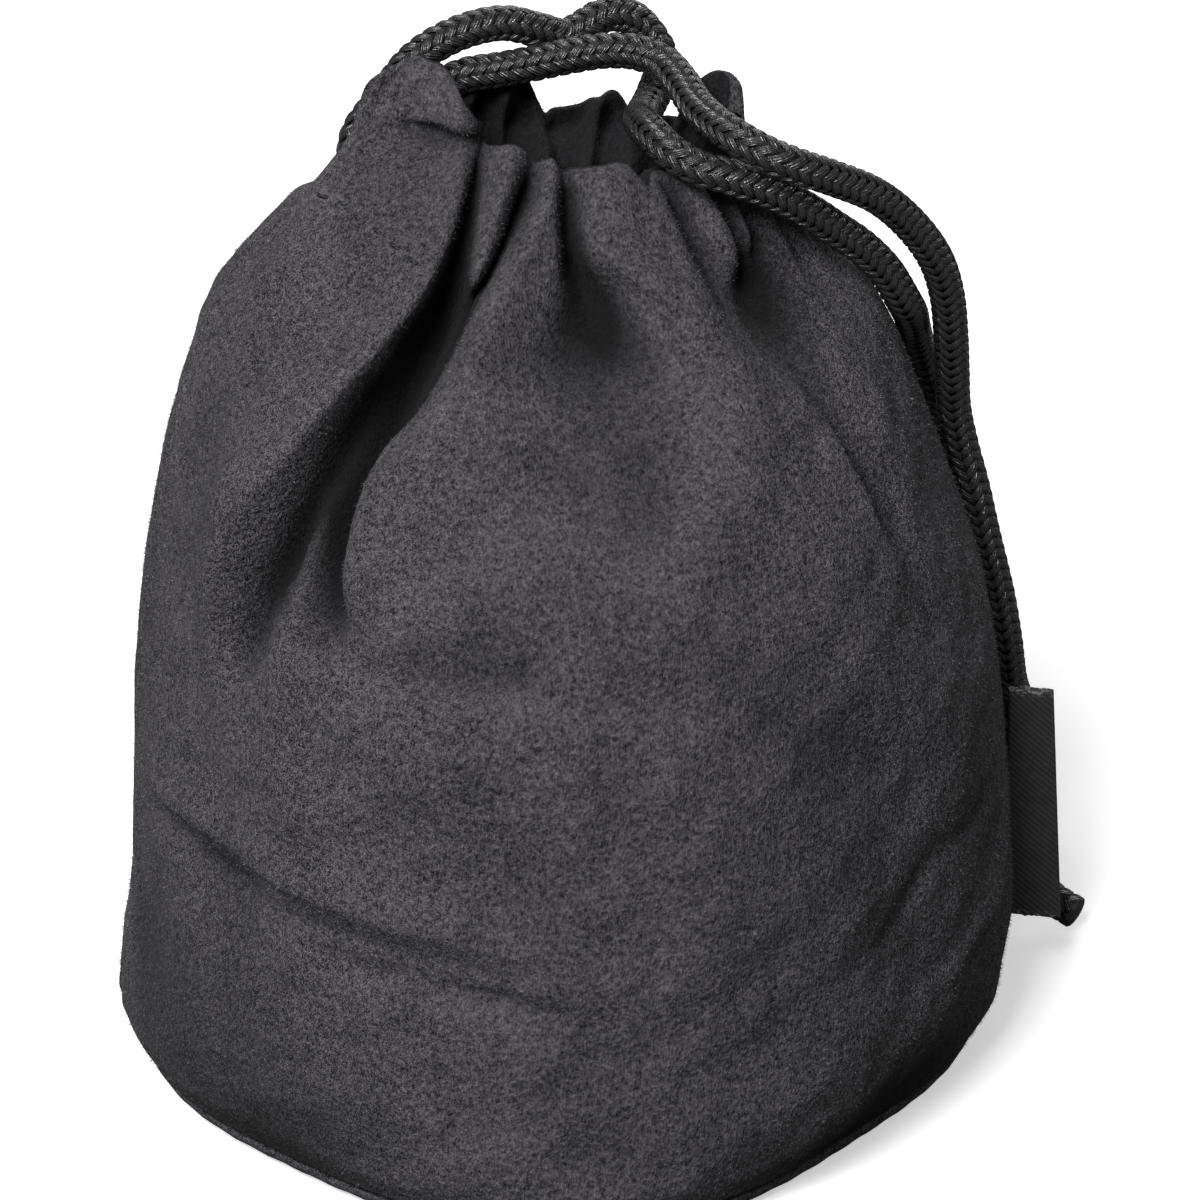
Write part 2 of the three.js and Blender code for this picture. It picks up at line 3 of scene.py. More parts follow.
import bpy
import numpy as np
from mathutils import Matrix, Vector


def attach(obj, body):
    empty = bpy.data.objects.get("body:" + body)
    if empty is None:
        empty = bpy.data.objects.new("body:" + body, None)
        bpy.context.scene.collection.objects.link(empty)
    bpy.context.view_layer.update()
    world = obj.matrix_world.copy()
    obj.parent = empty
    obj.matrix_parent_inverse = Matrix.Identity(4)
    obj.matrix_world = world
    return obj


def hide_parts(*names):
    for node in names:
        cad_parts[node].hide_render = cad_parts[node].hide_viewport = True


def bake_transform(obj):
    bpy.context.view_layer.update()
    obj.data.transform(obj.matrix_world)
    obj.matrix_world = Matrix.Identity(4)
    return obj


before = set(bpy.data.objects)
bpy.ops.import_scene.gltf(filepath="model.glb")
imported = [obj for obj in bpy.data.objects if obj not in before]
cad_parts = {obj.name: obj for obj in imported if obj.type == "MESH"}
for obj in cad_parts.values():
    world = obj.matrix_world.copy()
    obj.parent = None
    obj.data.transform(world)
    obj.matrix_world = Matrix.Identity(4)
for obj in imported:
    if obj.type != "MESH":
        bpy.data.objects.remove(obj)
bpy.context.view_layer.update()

# Camera: a long lens in front of the pouch, a little to its left and above it, as the photograph
# was taken. It is aimed just right of the pouch's axis, so that the pouch stands left of centre.
camera_target = Vector((0, 0, 0.050))
camera_distance = 0.700
camera_azimuth = math.radians(-8)
camera_elevation = math.radians(28.6)
camera_lens = 205.3
camera_sensor = 36
aim_right = 0.00419
aim_down = 0.00023
camera_right = Vector((math.cos(camera_azimuth), math.sin(camera_azimuth), 0))
camera_back = Vector((math.sin(camera_azimuth) * math.cos(camera_elevation),
                      -math.cos(camera_azimuth) * math.cos(camera_elevation),
                      math.sin(camera_elevation)))
camera_data = bpy.data.cameras.new("camera")
camera_data.lens = camera_lens
camera_data.sensor_width = camera_sensor
camera = bpy.data.objects.new("camera", camera_data)
camera.location = camera_target + camera_back * camera_distance
camera_aim = camera_target + camera_right * aim_right - Vector((0, 0, aim_down))
camera.rotation_euler = (camera_aim - camera.location).to_track_quat("-Z", "Y").to_euler()
bpy.context.scene.collection.objects.link(camera)
bpy.context.scene.camera = camera
bpy.context.scene.view_settings.view_transform = "Standard"

# Base panel: a disc of napped faux suede whose edge is turned up to meet the wall.
# The pouch stands on it, and the seam that joins it to the wall runs round its rim.
MM = 0.001
base_flat_radius = 39.5
base_seam_radius = 44.2
base_rim_height = 2.3
cloth_thickness = 1.2
base_sides = 220
foot_tucks = ((3.8, 310, 24), (2.4, 222, 20))
grain_scale, tuft_scale, patch_scale, speck_scale = 4200, 1500, 110, 7600
grain_weight, tuft_weight, patch_weight, speck_weight, nap_start = 1.12, 1.0, 0.4, 2.7, -0.765
grain_stretch = (1, 1, 0.45)
# Painted light and shade in the nap: the band where the painted speckle grows towards the sides, and how far
# the press mark darkens the colour as painted shade.
side_speckle_from, side_speckle_to = 0.004, 0.030
painted_shade_strength = 0.92
nap_power = 1.3
suede_dark = (0.0051, 0.0048, 0.0055, 1)
suede_light = (0.1615, 0.1525, 0.1655, 1)
suede_sheen = (0.5, 0.5, 0.52, 1)


def add_piece(name, points, quads, tris=(), corner_uv=None, marks=None):
    """Mesh piece from points in millimetres, quads and triangles. The faces are turned round where
    they enclose a negative volume, so that they look outwards. corner_uv holds two numbers for each
    corner of each quad, and marks the named values of each point."""
    quads = np.asarray(quads, int).reshape(-1, 4)
    tris = np.asarray(tris, int).reshape(-1, 3)
    points = np.asarray(points, float)
    all_tris = np.concatenate([quads[:, [0, 1, 2]], quads[:, [0, 2, 3]], tris])
    a, b, c = (points[all_tris[:, k]] for k in range(3))
    if np.einsum("ij,ij->i", a, np.cross(b, c)).sum() < 0:
        quads, tris = quads[:, ::-1], tris[:, ::-1]
        corner_uv = None if corner_uv is None else corner_uv[:, ::-1]
    mesh = bpy.data.meshes.new(name)
    mesh.from_pydata((points * MM).tolist(), [], quads.tolist() + tris.tolist())
    if corner_uv is not None:
        corners = np.zeros((4 * len(quads) + 3 * len(tris), 2))
        corners[:4 * len(quads)] = corner_uv.reshape(-1, 2)
        mesh.uv_layers.new(name="UVMap").data.foreach_set("uv", corners.ravel())
    for mark, values in (marks or {}).items():
        mesh.attributes.new(mark, "FLOAT", "POINT").data.foreach_set("value", values.ravel())
    mesh.shade_smooth()
    mesh.update()
    piece = bpy.data.objects.new(name, mesh)
    bpy.context.scene.collection.objects.link(piece)
    return piece


def ring_quads(rings, sides):
    """Quads between neighbouring rings of a closed-round grid, with the ring and side number of
    each corner as its place on the surface."""
    ring, side = (k.ravel() for k in np.meshgrid(np.arange(rings - 1), np.arange(sides), indexing="ij"))
    after = (side + 1) % sides
    quads = np.stack([ring * sides + side, ring * sides + after,
                      (ring + 1) * sides + after, (ring + 1) * sides + side], 1)
    places = np.stack([np.stack([ring, ring, ring + 1, ring + 1], 1),
                       np.stack([side, side + 1, side + 1, side], 1)], 2)
    return quads, places


def foot_tuck(angle):
    """How far the foot of the wall is rolled under: for each tuck a bell of its depth round its
    middle angle, with its spread."""
    return sum(depth * np.exp(-((angle - middle) / spread) ** 2) for depth, middle, spread in foot_tucks)


def lathe(name, profile, sides, wave=0.0, waves=0, tucked=0.0):
    """Round piece turned about the upright axis: each profile point (radius, height) becomes a ring,
    whose height sways by wave as a sine with that many waves round it, and which is drawn in by a
    share of the tuck of the foot; the first and last points lie on the axis and close it."""
    profile = np.asarray(profile, float)
    turn = np.arange(sides) * 2 * math.pi / sides
    radius, height = profile[1:-1, 0, None], profile[1:-1, 1, None]
    rim = (radius / profile[:, 0].max()) ** 6
    sway = wave * np.sin(waves * turn) * rim
    radius = radius - tucked * foot_tuck(np.degrees(turn)) * rim
    rings = np.stack([radius * np.cos(turn), radius * np.sin(turn), height + sway], 2)
    count = len(profile) - 2
    poles = [[0, 0, profile[0, 1]], [0, 0, profile[-1, 1]]]
    quads, _ = ring_quads(count, sides)
    side = np.arange(sides)
    after = (side + 1) % sides
    first, last = count * sides, count * sides + 1
    fans = np.concatenate([np.stack([np.full(sides, first), after, side], 1),
                           np.stack([np.full(sides, last), (count - 1) * sides + side,
                                     (count - 1) * sides + after], 1)])
    return add_piece(name, np.concatenate([rings.reshape(-1, 3), poles]), quads, fans)


def add_node(tree, kind, inputs=None, **settings):
    """Shader node of that kind with its settings; each input is a value or the socket it takes."""
    node = tree.nodes.new(kind)
    for key, value in settings.items():
        setattr(node, key, value)
    for key, value in (inputs or {}).items():
        if isinstance(value, bpy.types.NodeSocket):
            tree.links.new(value, node.inputs[key])
        else:
            node.inputs[key].default_value = value
    return node


def math_node(tree, operation, a, b=0.0):
    """Result of one sum on two values or sockets."""
    return add_node(tree, "ShaderNodeMath", {0: a, 1: b}, operation=operation).outputs[0]


def noise_node(tree, place, scale, detail, roughness=0.5):
    """Noise value at a place, with that many grains to the metre."""
    inputs = {"Vector": place, "Scale": scale, "Detail": detail, "Roughness": roughness}
    return add_node(tree, "ShaderNodeTexNoise", inputs).outputs[0]


def new_group(name, inputs, outputs):
    """Shader node group with its sockets, its input node's outputs and its output node."""
    tree = bpy.data.node_groups.new(name, "ShaderNodeTree")
    for socket, kind in inputs:
        tree.interface.new_socket(socket, in_out="INPUT", socket_type=kind)
    for socket, kind in outputs:
        tree.interface.new_socket(socket, in_out="OUTPUT", socket_type=kind)
    return tree, tree.nodes.new("NodeGroupInput").outputs, tree.nodes.new("NodeGroupOutput")


def new_material(name):
    """Material with its Principled shader."""
    material = bpy.data.materials.new(name)
    material.use_nodes = True
    return material, material.node_tree, material.node_tree.nodes["Principled BSDF"]


def weigh(tree, terms, start=0.0):
    """Sum of sockets, each times its weight, and a starting value."""
    total = start
    for socket, weight in terms:
        inputs = {0: socket, 1: weight, 2: total}
        total = add_node(tree, "ShaderNodeMath", inputs, operation="MULTIPLY_ADD").outputs[0]
    return total


def mix_colour(tree, share, dark, light):
    """Colour between dark and light by a share from 0 to 1."""
    node = add_node(tree, "ShaderNodeMix", {0: share, 6: dark, 7: light}, data_type="RGBA")
    return node.outputs[2]


def finish(tree, shader, colour, height, strength, distance, roughness):
    """Gives a shader its colour, the relief of a height and its roughness."""
    inputs = {"Height": height, "Strength": strength, "Distance": distance}
    bump = add_node(tree, "ShaderNodeBump", inputs)
    tree.links.new(colour, shader.inputs["Base Color"])
    tree.links.new(bump.outputs["Normal"], shader.inputs["Normal"])
    shader.inputs["Roughness"].default_value = roughness


def make_nap():
    """Napped cloth: fine grains, tufts and brushed patches of noise are weighed together into one
    value, which runs the colour from dark to light; the grains and tufts stand as the height of
    the nap. Finer specks are painted in towards the sides as painted light and shade of the tufts
    under grazing light. The Press input is painted shade. A power keeps the light tips few."""
    tree, given, result = new_group(
        "suede_nap",
        [("Dark", "NodeSocketColor"), ("Light", "NodeSocketColor"), ("Press", "NodeSocketFloat")],
        [("Color", "NodeSocketColor"), ("Height", "NodeSocketFloat")])
    place = add_node(tree, "ShaderNodeTexCoord").outputs["Object"]
    brushed = add_node(tree, "ShaderNodeVectorMath", {0: place, 1: grain_stretch}, operation="MULTIPLY")
    grain = noise_node(tree, brushed.outputs[0], grain_scale, detail=2, roughness=0.6)
    tuft = noise_node(tree, place, tuft_scale, detail=2, roughness=0.6)
    patch = noise_node(tree, place, patch_scale, detail=3, roughness=0.6)
    # Painted light and shade: the finer specks grow towards the sides and stand in for grazing light on the
    # tufts.
    across = math_node(tree, "ABSOLUTE", add_node(tree, "ShaderNodeSeparateXYZ", {0: place}).outputs[0])
    side_speckle = add_node(tree, "ShaderNodeMapRange", {0: across, 1: side_speckle_from, 2: side_speckle_to}).outputs[0]
    speck = math_node(tree, "SUBTRACT", noise_node(tree, place, speck_scale, detail=1), 0.5)
    speck = math_node(tree, "MULTIPLY", speck, side_speckle)
    value = weigh(tree, [(grain, grain_weight), (tuft, tuft_weight), (patch, patch_weight),
                         (speck, speck_weight)], nap_start)
    # Painted shade: the Press input takes the colour towards dark in the folds, in the shade spots and on
    # the inner face.
    value = math_node(tree, "MULTIPLY", value, weigh(tree, [(given["Press"], -painted_shade_strength)], 1.0))
    value = math_node(tree, "POWER", math_node(tree, "MAXIMUM", value), nap_power)
    tree.links.new(mix_colour(tree, value, given["Dark"], given["Light"]), result.inputs["Color"])
    tree.links.new(weigh(tree, [(grain, 0.6), (tuft, 0.8)]), result.inputs["Height"])
    return tree


nap_group = make_nap()
suede, suede_tree, suede_shader = new_material("suede")
# The press mark read here is painted shade, which darkens the suede's colour.
suede_painted_shade = add_node(suede_tree, "ShaderNodeAttribute", attribute_name="press").outputs["Fac"]
suede_nap = add_node(suede_tree, "ShaderNodeGroup", node_tree=nap_group)
suede_nap.inputs["Dark"].default_value = suede_dark
suede_nap.inputs["Light"].default_value = suede_light
suede_tree.links.new(suede_painted_shade, suede_nap.inputs["Press"])
finish(suede_tree, suede_shader, suede_nap.outputs["Color"], suede_nap.outputs["Height"],
       strength=0.9, distance=0.0005, roughness=0.95)
suede_shader.inputs["Specular IOR Level"].default_value = 0.15
suede_shader.inputs["Sheen Weight"].default_value = 0.04
suede_shader.inputs["Sheen Roughness"].default_value = 0.5
suede_shader.inputs["Sheen Tint"].default_value = suede_sheen

turn_up = np.linspace(0, math.pi / 2, 9)
turn_width = base_seam_radius - base_flat_radius
base_profile = np.concatenate([
    [[0, 0], [10, 0], [20, 0], [30, 0], [36, 0]],
    np.stack([base_flat_radius + turn_width * np.sin(turn_up),
              base_rim_height * (1 - np.cos(turn_up))], 1),
    [[base_seam_radius - 0.25, base_rim_height + 0.18],
     [base_seam_radius - 0.75, base_rim_height + 0.18]],
    [[41.5, 1.55], [39.5, cloth_thickness], [30, cloth_thickness], [0, cloth_thickness]]])
base_panel = lathe("base_cloth", base_profile, base_sides, wave=0.07, waves=58, tucked=1.0)
base_panel.data.materials.append(suede)
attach(base_panel, "pouch")
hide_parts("base_panel")

# Base pad: a round of soft foam laid on the base cloth, which keeps the bottom of the pouch flat.
# The lining disc covers it.
pad_radius = 38.4
pad_bottom, pad_top = 1.5, 4.5
pad_round = 0.7
foam_cell_scale = 1800
foam_colours = ((0.42, 0.40, 0.36, 1), (0.55, 0.53, 0.48, 1))
pad_profile = [[0, pad_bottom], [20, pad_bottom], [34, pad_bottom],
               [pad_radius - pad_round, pad_bottom], [pad_radius - 0.2, pad_bottom + 0.2],
               [pad_radius, pad_bottom + pad_round], [pad_radius, pad_top - pad_round],
               [pad_radius - 0.2, pad_top - 0.25], [pad_radius - pad_round, pad_top - 0.05],
               [34, pad_top], [20, pad_top], [0, pad_top]]
base_pad = lathe("foam_pad", pad_profile, base_sides)
foam, foam_tree, foam_shader = new_material("foam")
foam_place = add_node(foam_tree, "ShaderNodeTexCoord").outputs["Object"]
foam_cells = noise_node(foam_tree, foam_place, foam_cell_scale, detail=2)
foam_mix = mix_colour(foam_tree, foam_cells, *foam_colours)
foam_tree.links.new(foam_mix, foam_shader.inputs["Base Color"])
foam_shader.inputs["Roughness"].default_value = 0.9
base_pad.data.materials.append(foam)
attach(base_pad, "pouch")
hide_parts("base_pad")

# Lining: a disc of the same suede, nap side up, that lies over the pad inside the pouch.
# Its edge is caught in the base seam.
lining_radius = 43.6
lining_bottom, lining_top = 4.8, 5.8
lining_profile = [[0, lining_bottom], [20, lining_bottom], [lining_radius - 0.5, lining_bottom],
                  [lining_radius, lining_bottom + 0.3], [lining_radius, lining_top - 0.3],
                  [lining_radius - 0.5, lining_top], [38, lining_top + 0.05],
                  [20, lining_top + 0.1], [0, lining_top + 0.1]]
base_lining = lathe("base_lining_cloth", lining_profile, base_sides, wave=0.05, waves=23, tucked=1.0)
base_lining.data.materials.append(suede)
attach(base_lining, "pouch")
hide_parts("base_lining")

# Front cloth: half of the wall, from seam to seam, one piece of suede from the base seam up to the
# lip. It is gathered on the drawcord: its pleats run down from the lip, the deep fold beside the
# flat ear hangs open, and slack folds cross the belly where the standing cloth has sunk.
wall_stations = np.array([
    [3.4, 44.8, 44.8, 0], [7, 46.4, 46.4, 0], [30, 45.3, 45.3, 1.2], [50, 43.2, 43.6, 0.5],
    [68, 38.9, 38.5, -0.9], [82, 34.2, 29, -1.7], [91, 28.8, 20.5, -2], [103, 20.8, 10.5, -0.5],
    [108, 19, 8.7, -0.5]])
stations_overrun = 3
wall_foot, belly_top = 3.45, 60
hem_foot = 88.0
lip_thickness = 2.6
seam_gap = 0.02
end_lap = 1.5
lap_kept = 0.1
lap_from, lap_to = 88.5, 92
lap_fade_from, lap_fade_to = 95, 98.5
layers_from, layers_to = 89, 93.5
edge_round, edge_pinch = 0.6, 0.55
seam_groove = 0.35
seam_bead, seam_bead_place, seam_bead_spread = 0.3, 1.8, 1.1
plain_foot = 6
foot_tuck_height = 17
tunnel_fade = 8
tunnel_half_height = 3.0
tunnel_relief = 0.3
run_height = 95.55
hem_bulge = 5.4
ear_angle = 208
ear_climb, ear_climb_spread = 5, 48
ear_middle, ear_spread = 206, 29
ear_lean, ear_depth = 0.92, -0.9
ear_lean_from, ear_lean_to = 96, 110
slack_lengths = (34, 27, 22, 18, 15, 12, 10, 8, 6.5, 5.2, 4.4, 3.6)
slack_height = 0.011
slack_radius = 44
seam_slack, seam_slack_spread = 0.15, 14
# Painted shade: the press beyond which folds are painted darker, over what range, and the shade painted over
# the whole inner face.
painted_shade_from, painted_shade_range = 0.7, 3.5
painted_inside_shade = 0.88
wall_columns = 290
belly_rows, neck_rows, hem_rows, lip_rows, foot_rows = 91, 79, 62, 14, 7


def smooth_line(points, spans):
    """Points on a centripetal Catmull-Rom curve: between each two given points, a cubic whose end
    slopes come from the neighbouring points, spaced by the square roots of their distances."""
    points = np.asarray(points, float)
    padded = np.concatenate([[2 * points[0] - points[1]], points, [2 * points[-1] - points[-2]]])
    step = np.sqrt(np.linalg.norm(np.diff(padded, axis=0), axis=1))[:, None]
    p0, p1, p2, p3 = padded[:-3], padded[1:-2], padded[2:-1], padded[3:]
    d0, d1, d2 = step[:-2], step[1:-1], step[2:]
    slope_in = ((p1 - p0) / d0 - (p2 - p0) / (d0 + d1) + (p2 - p1) / d1) * d1
    slope_out = ((p2 - p1) / d1 - (p3 - p1) / (d1 + d2) + (p3 - p2) / d2) * d1
    t = (np.arange(spans) / spans)[None, :, None]
    p1, p2, m1, m2 = (k[:, None, :] for k in (p1, p2, slope_in, slope_out))
    curve = (2 * t ** 3 - 3 * t ** 2 + 1) * p1 + (t ** 3 - 2 * t ** 2 + t) * m1
    curve = curve + (3 * t ** 2 - 2 * t ** 3) * p2 + (t ** 3 - t ** 2) * m2
    return np.concatenate([curve.reshape(-1, points.shape[1]), points[-1:]])


def unit(vectors):
    """Vectors brought to length one."""
    return vectors / np.linalg.norm(vectors, axis=-1, keepdims=True)


def ease(value, low, high):
    """Smooth step from 0 at low to 1 at high."""
    t = np.clip((value - low) / (high - low), 0, 1)
    return t * t * (3 - 2 * t)


def outline(height):
    """Half width, half depth and lean of the wall at a height, and their slopes: cubics through the
    stations, whose slope at a station is that between its two neighbours."""
    height = np.clip(height, wall_stations[0, 0], wall_stations[-1, 0] + stations_overrun)
    marks, values = wall_stations[:, 0], wall_stations[:, 1:]
    order = np.arange(len(marks))
    before, after = np.maximum(order - 1, 0), np.minimum(order + 1, len(marks) - 1)
    slopes = (values[after] - values[before]) / (marks[after] - marks[before])[:, None]
    index = np.clip(np.searchsorted(marks, height) - 1, 0, len(marks) - 2)
    span = (marks[index + 1] - marks[index])[..., None]
    t = (height - marks[index])[..., None] / span
    start, end = values[index], values[index + 1]
    pull_in, pull_out = slopes[index] * span, slopes[index + 1] * span
    cubic = 2 * start - 2 * end + pull_in + pull_out
    square = 3 * end - 3 * start - 2 * pull_in - pull_out
    return (((cubic * t + square) * t + pull_in) * t + start,
            ((3 * cubic * t + 2 * square) * t + pull_in) / span)


def wall_point(angle, height, inset, press):
    """Point of the wall: the ellipse of that height at the angle, taken in along its own normal by
    the inset, measured square to the sloping cloth, and by the press, measured level."""
    value, slope = outline(height)
    half_width, half_depth, lean = np.moveaxis(value, -1, 0)
    across, along = np.cos(np.radians(angle)), np.sin(np.radians(angle))
    steep = np.hypot(1, slope[..., 0] * across ** 2 + slope[..., 1] * along ** 2)
    normal_x, normal_y = across / half_width, along / half_depth
    length = np.hypot(normal_x, normal_y)
    depth = (inset * steep + press) / length
    return np.stack([lean + half_width * across - normal_x * depth,
                     half_depth * along - normal_y * depth, height + 0 * depth], -1)


def arc_scale(angle, height):
    """Length of the wall's ellipse for each degree at that angle."""
    value, _ = outline(height)
    turn = np.radians(angle)
    return np.hypot(value[..., 0] * np.sin(turn), value[..., 1] * np.cos(turn)) * math.pi / 180


def fold_press(angle, height, path, power):
    """Press of a fold that runs down the cloth along a path of angle, height, depth and the widths to
    its left and right: at each height its depth fades with the arc from the path, as a bell whose
    sides are the steeper the higher the power."""
    line = smooth_line(path, spans=12)
    line = line[np.argsort(line[:, 1], kind="stable")]
    centre, depth, left, right = (np.interp(height, line[:, 1], line[:, k]) for k in (0, 2, 3, 4))
    arc = (angle - centre) * arc_scale(centre, height)
    return depth * np.exp(-np.abs(arc / np.where(arc < 0, left, right)) ** power)


def even_fold(left, right, path):
    """Path of a fold with the same widths to its left and right all the way down."""
    return [(*point, left, right) for point in path]


def crease_press(angle, height, path, above, below):
    """Press of a crease that runs round the cloth along a path of angle, height and depth: its depth
    fades as a bell over the height from the path, with a width above and one below."""
    line = smooth_line(path, spans=12)
    line = line[np.argsort(line[:, 0], kind="stable")]
    rise = height - np.interp(angle, line[:, 0], line[:, 1])
    depth = np.interp(angle, line[:, 0], line[:, 2])
    return depth * np.exp(-(rise / np.where(rise > 0, above, below)) ** 2)


def hollow_press(angle, height, centre, size, depth):
    """Press of an oval hollow: a bell over the arc and the height from its centre."""
    arc = (angle - centre[0]) * arc_scale(centre[0] + 0 * height, height)
    return depth * np.exp(-(arc / size[0]) ** 2 - ((height - centre[1]) / size[1]) ** 2)


def slack_press(angle, height, seed):
    """Press of the slack in the cloth: sines of the arc and the height with seeded directions and
    lengths, the long ones higher than the short ones, which fade out at the seams."""
    random = np.random.default_rng(seed)
    from_seam = np.degrees(np.arcsin(np.abs(np.sin(np.radians(angle)))))
    fade = 1 - (1 - seam_slack) * np.exp(-(from_seam / seam_slack_spread) ** 2)
    press = np.zeros(np.broadcast(angle, height).shape)
    for length in slack_lengths:
        heading, start = random.uniform(0, math.pi), random.uniform(0, 2 * math.pi)
        along = np.radians(angle) * slack_radius * math.cos(heading) + height * math.sin(heading)
        press = press + slack_height * length ** 0.95 * np.sin(2 * math.pi * along / length + start)
    return press * fade


def climb_at(angle):
    """How far the cord's tunnel climbs into the ear."""
    return ear_climb * np.exp(-((angle - ear_angle) / ear_climb_spread) ** 2)


def lean_ear(points, angle, height):
    """Points of the front wall with the ear leant back: above the stitches they go towards one depth,
    by a share that eases in with height and, as a flat bell, with angle."""
    face = wall_point(angle, height, 0 * height, 0 * height)
    rise = ease(height, ear_lean_from, ear_lean_to)
    share = ear_lean * rise * np.exp(-((angle - ear_middle) / ear_spread) ** 4)
    points[..., 1] += share * (ear_depth - face[..., 1])
    return points


def sew_wall(name, turn, lip_line, tunnel, press_at, brushed, slides=(), ear=False):
    """Closed cloth from one seam to the other. Each column goes up the outer face, over the round
    lip and down the inner face to the round foot. The inner face stands off by the cloth's own
    thickness, by two turned layers above the stitches and by the cord where the tunnel is. Beside
    the tunnel the first end laps past the seam. The slides move the cloth sideways, so that one
    pleat hangs over the next, and the ear leans back. Shade is painted into the nap: darker in the
    deep folds, in the given shade spots and all over the inner face. It returns the piece and the
    grid of its outer face with that painted shade."""
    ends = np.array([0, 0.0006, 0.0016, 0.003, 0.0048])
    middle = np.linspace(0.007, 0.993, wall_columns - 2 * len(ends))
    share = np.concatenate([ends, middle, 1 - ends[::-1]])[None, :]
    nominal = turn + 180 * share
    lip = np.interp(nominal, *smooth_line(lip_line, spans=8).T)
    lip_side = lip - lip_thickness / 2
    low = np.concatenate([np.linspace(wall_foot, belly_top, belly_rows),
                          np.linspace(belly_top, hem_foot, neck_rows)[1:]])[:, None]
    hem_share = np.linspace(0, 1, hem_rows)[1:, None]
    outer_height = np.concatenate([low + 0 * lip, hem_foot + (lip_side - hem_foot) * hem_share])
    inner_height = outer_height[::-3]
    lip_turn = np.linspace(0, math.pi, lip_rows)[1:-1, None]
    foot_turn = np.linspace(0, math.pi, foot_rows)[1:-1, None]
    height = np.concatenate([outer_height, lip_side + lip_thickness / 2 * np.sin(lip_turn), inner_height,
                             wall_foot - cloth_thickness / 2 * np.sin(foot_turn) + 0 * lip])
    half_depth = outline(height)[0][..., 1]
    margin = np.degrees(seam_gap / half_depth)
    lap = np.degrees(end_lap / half_depth) * ease(height, lap_from, lap_to)
    lap = lap * (1 - (1 - lap_kept) * ease(height, lap_fade_from, lap_fade_to))
    angle = turn + margin - lap + (180 - 2 * margin + lap) * share
    tunnel_height = run_height + climb_at(angle)
    begun = ease(angle, tunnel[0] - tunnel_fade, tunnel[0])
    ended = ease(angle, tunnel[1], tunnel[1] + tunnel_fade)
    bulge = begun * (1 - ended) * np.exp(-((height - tunnel_height) / tunnel_half_height) ** 2)
    layers = cloth_thickness + (lip_thickness - cloth_thickness) * ease(height, layers_from, layers_to)
    thickness = layers + hem_bulge * bulge
    outers, rounds, inners = len(outer_height), len(lip_turn), len(inner_height)
    inset = np.zeros_like(height)
    inset[:outers] = -tunnel_relief * bulge[:outers]
    inset[outers:outers + rounds] = lip_thickness / 2 * (1 - np.cos(lip_turn))
    inset[outers + rounds:outers + rounds + inners] = thickness[outers + rounds:outers + rounds + inners]
    inset[outers + rounds + inners:] = cloth_thickness / 2 * (1 + np.cos(foot_turn))
    edge = np.minimum(angle - turn - margin + lap, turn + 180 - margin - angle) * arc_scale(angle, height)
    near = np.clip(1 - edge / edge_round, 0, 1)
    pinch = edge_pinch * (1 - np.sqrt(1 - near ** 2))
    inset[:outers] += pinch[:outers]
    press = press_at(angle, height) + seam_groove * np.exp(-edge ** 2)
    press = press - seam_bead * np.exp(-((edge - seam_bead_place) / seam_bead_spread) ** 2)
    press = press * ease(height, wall_foot, wall_foot + plain_foot)
    press = press + foot_tuck(angle) * (1 - ease(height, wall_foot, foot_tuck_height))
    points = wall_point(angle, height, inset, press)
    if slides:
        slide = sum(fold_press(angle, height, path, power) for power, path in slides)
        shape = outline(height)[0]
        sideways = unit(np.stack([-shape[..., 0] * np.sin(np.radians(angle)),
                                  shape[..., 1] * np.cos(np.radians(angle))], -1))
        points[..., :2] += slide[..., None] * sideways
    if ear:
        points = lean_ear(points, angle, height)
    rows, columns = height.shape
    quads, _ = ring_quads(columns, rows)
    top = outers + rounds // 2
    up = np.concatenate([np.arange(outers + rounds + inners + 2, rows), np.arange(0, top + 1)])
    down = np.arange(top, outers + rounds + inners + 3)[::-1]
    n, m = len(up) - 1, len(down) - 1
    up_events, down_events = (np.arange(n) + 0.5) / n, (np.arange(m) + 0.5) / m
    up_apex = np.searchsorted(down_events, up_events, side="left")
    down_apex = np.searchsorted(up_events, down_events, side="right")
    cap = np.concatenate([np.stack([up[:-1], up[1:], down[up_apex]], 1),
                          np.stack([down[1:], down[:-1], up[down_apex]], 1)])
    cap = cap[(cap[:, 0] != cap[:, 2]) & (cap[:, 1] != cap[:, 2])]
    caps = np.concatenate([cap, cap[:, ::-1] + (columns - 1) * rows])
    # Painted shade: the press mark is darker in deep folds, in the given shade spots and all over the inner
    # face.
    depth = np.clip((press - painted_shade_from) / painted_shade_range, 0, 1)
    for centre, size, darkness in brushed:
        depth = depth + hollow_press(angle, height, centre, size, darkness)
    depth = np.clip(depth, 0, 1)
    depth[top:] = np.maximum(depth[top:], painted_inside_shade)
    piece = add_piece(name, points.transpose(1, 0, 2).reshape(-1, 3), quads, caps, marks={"press": depth.T})
    return piece, points[:top], depth[:top]


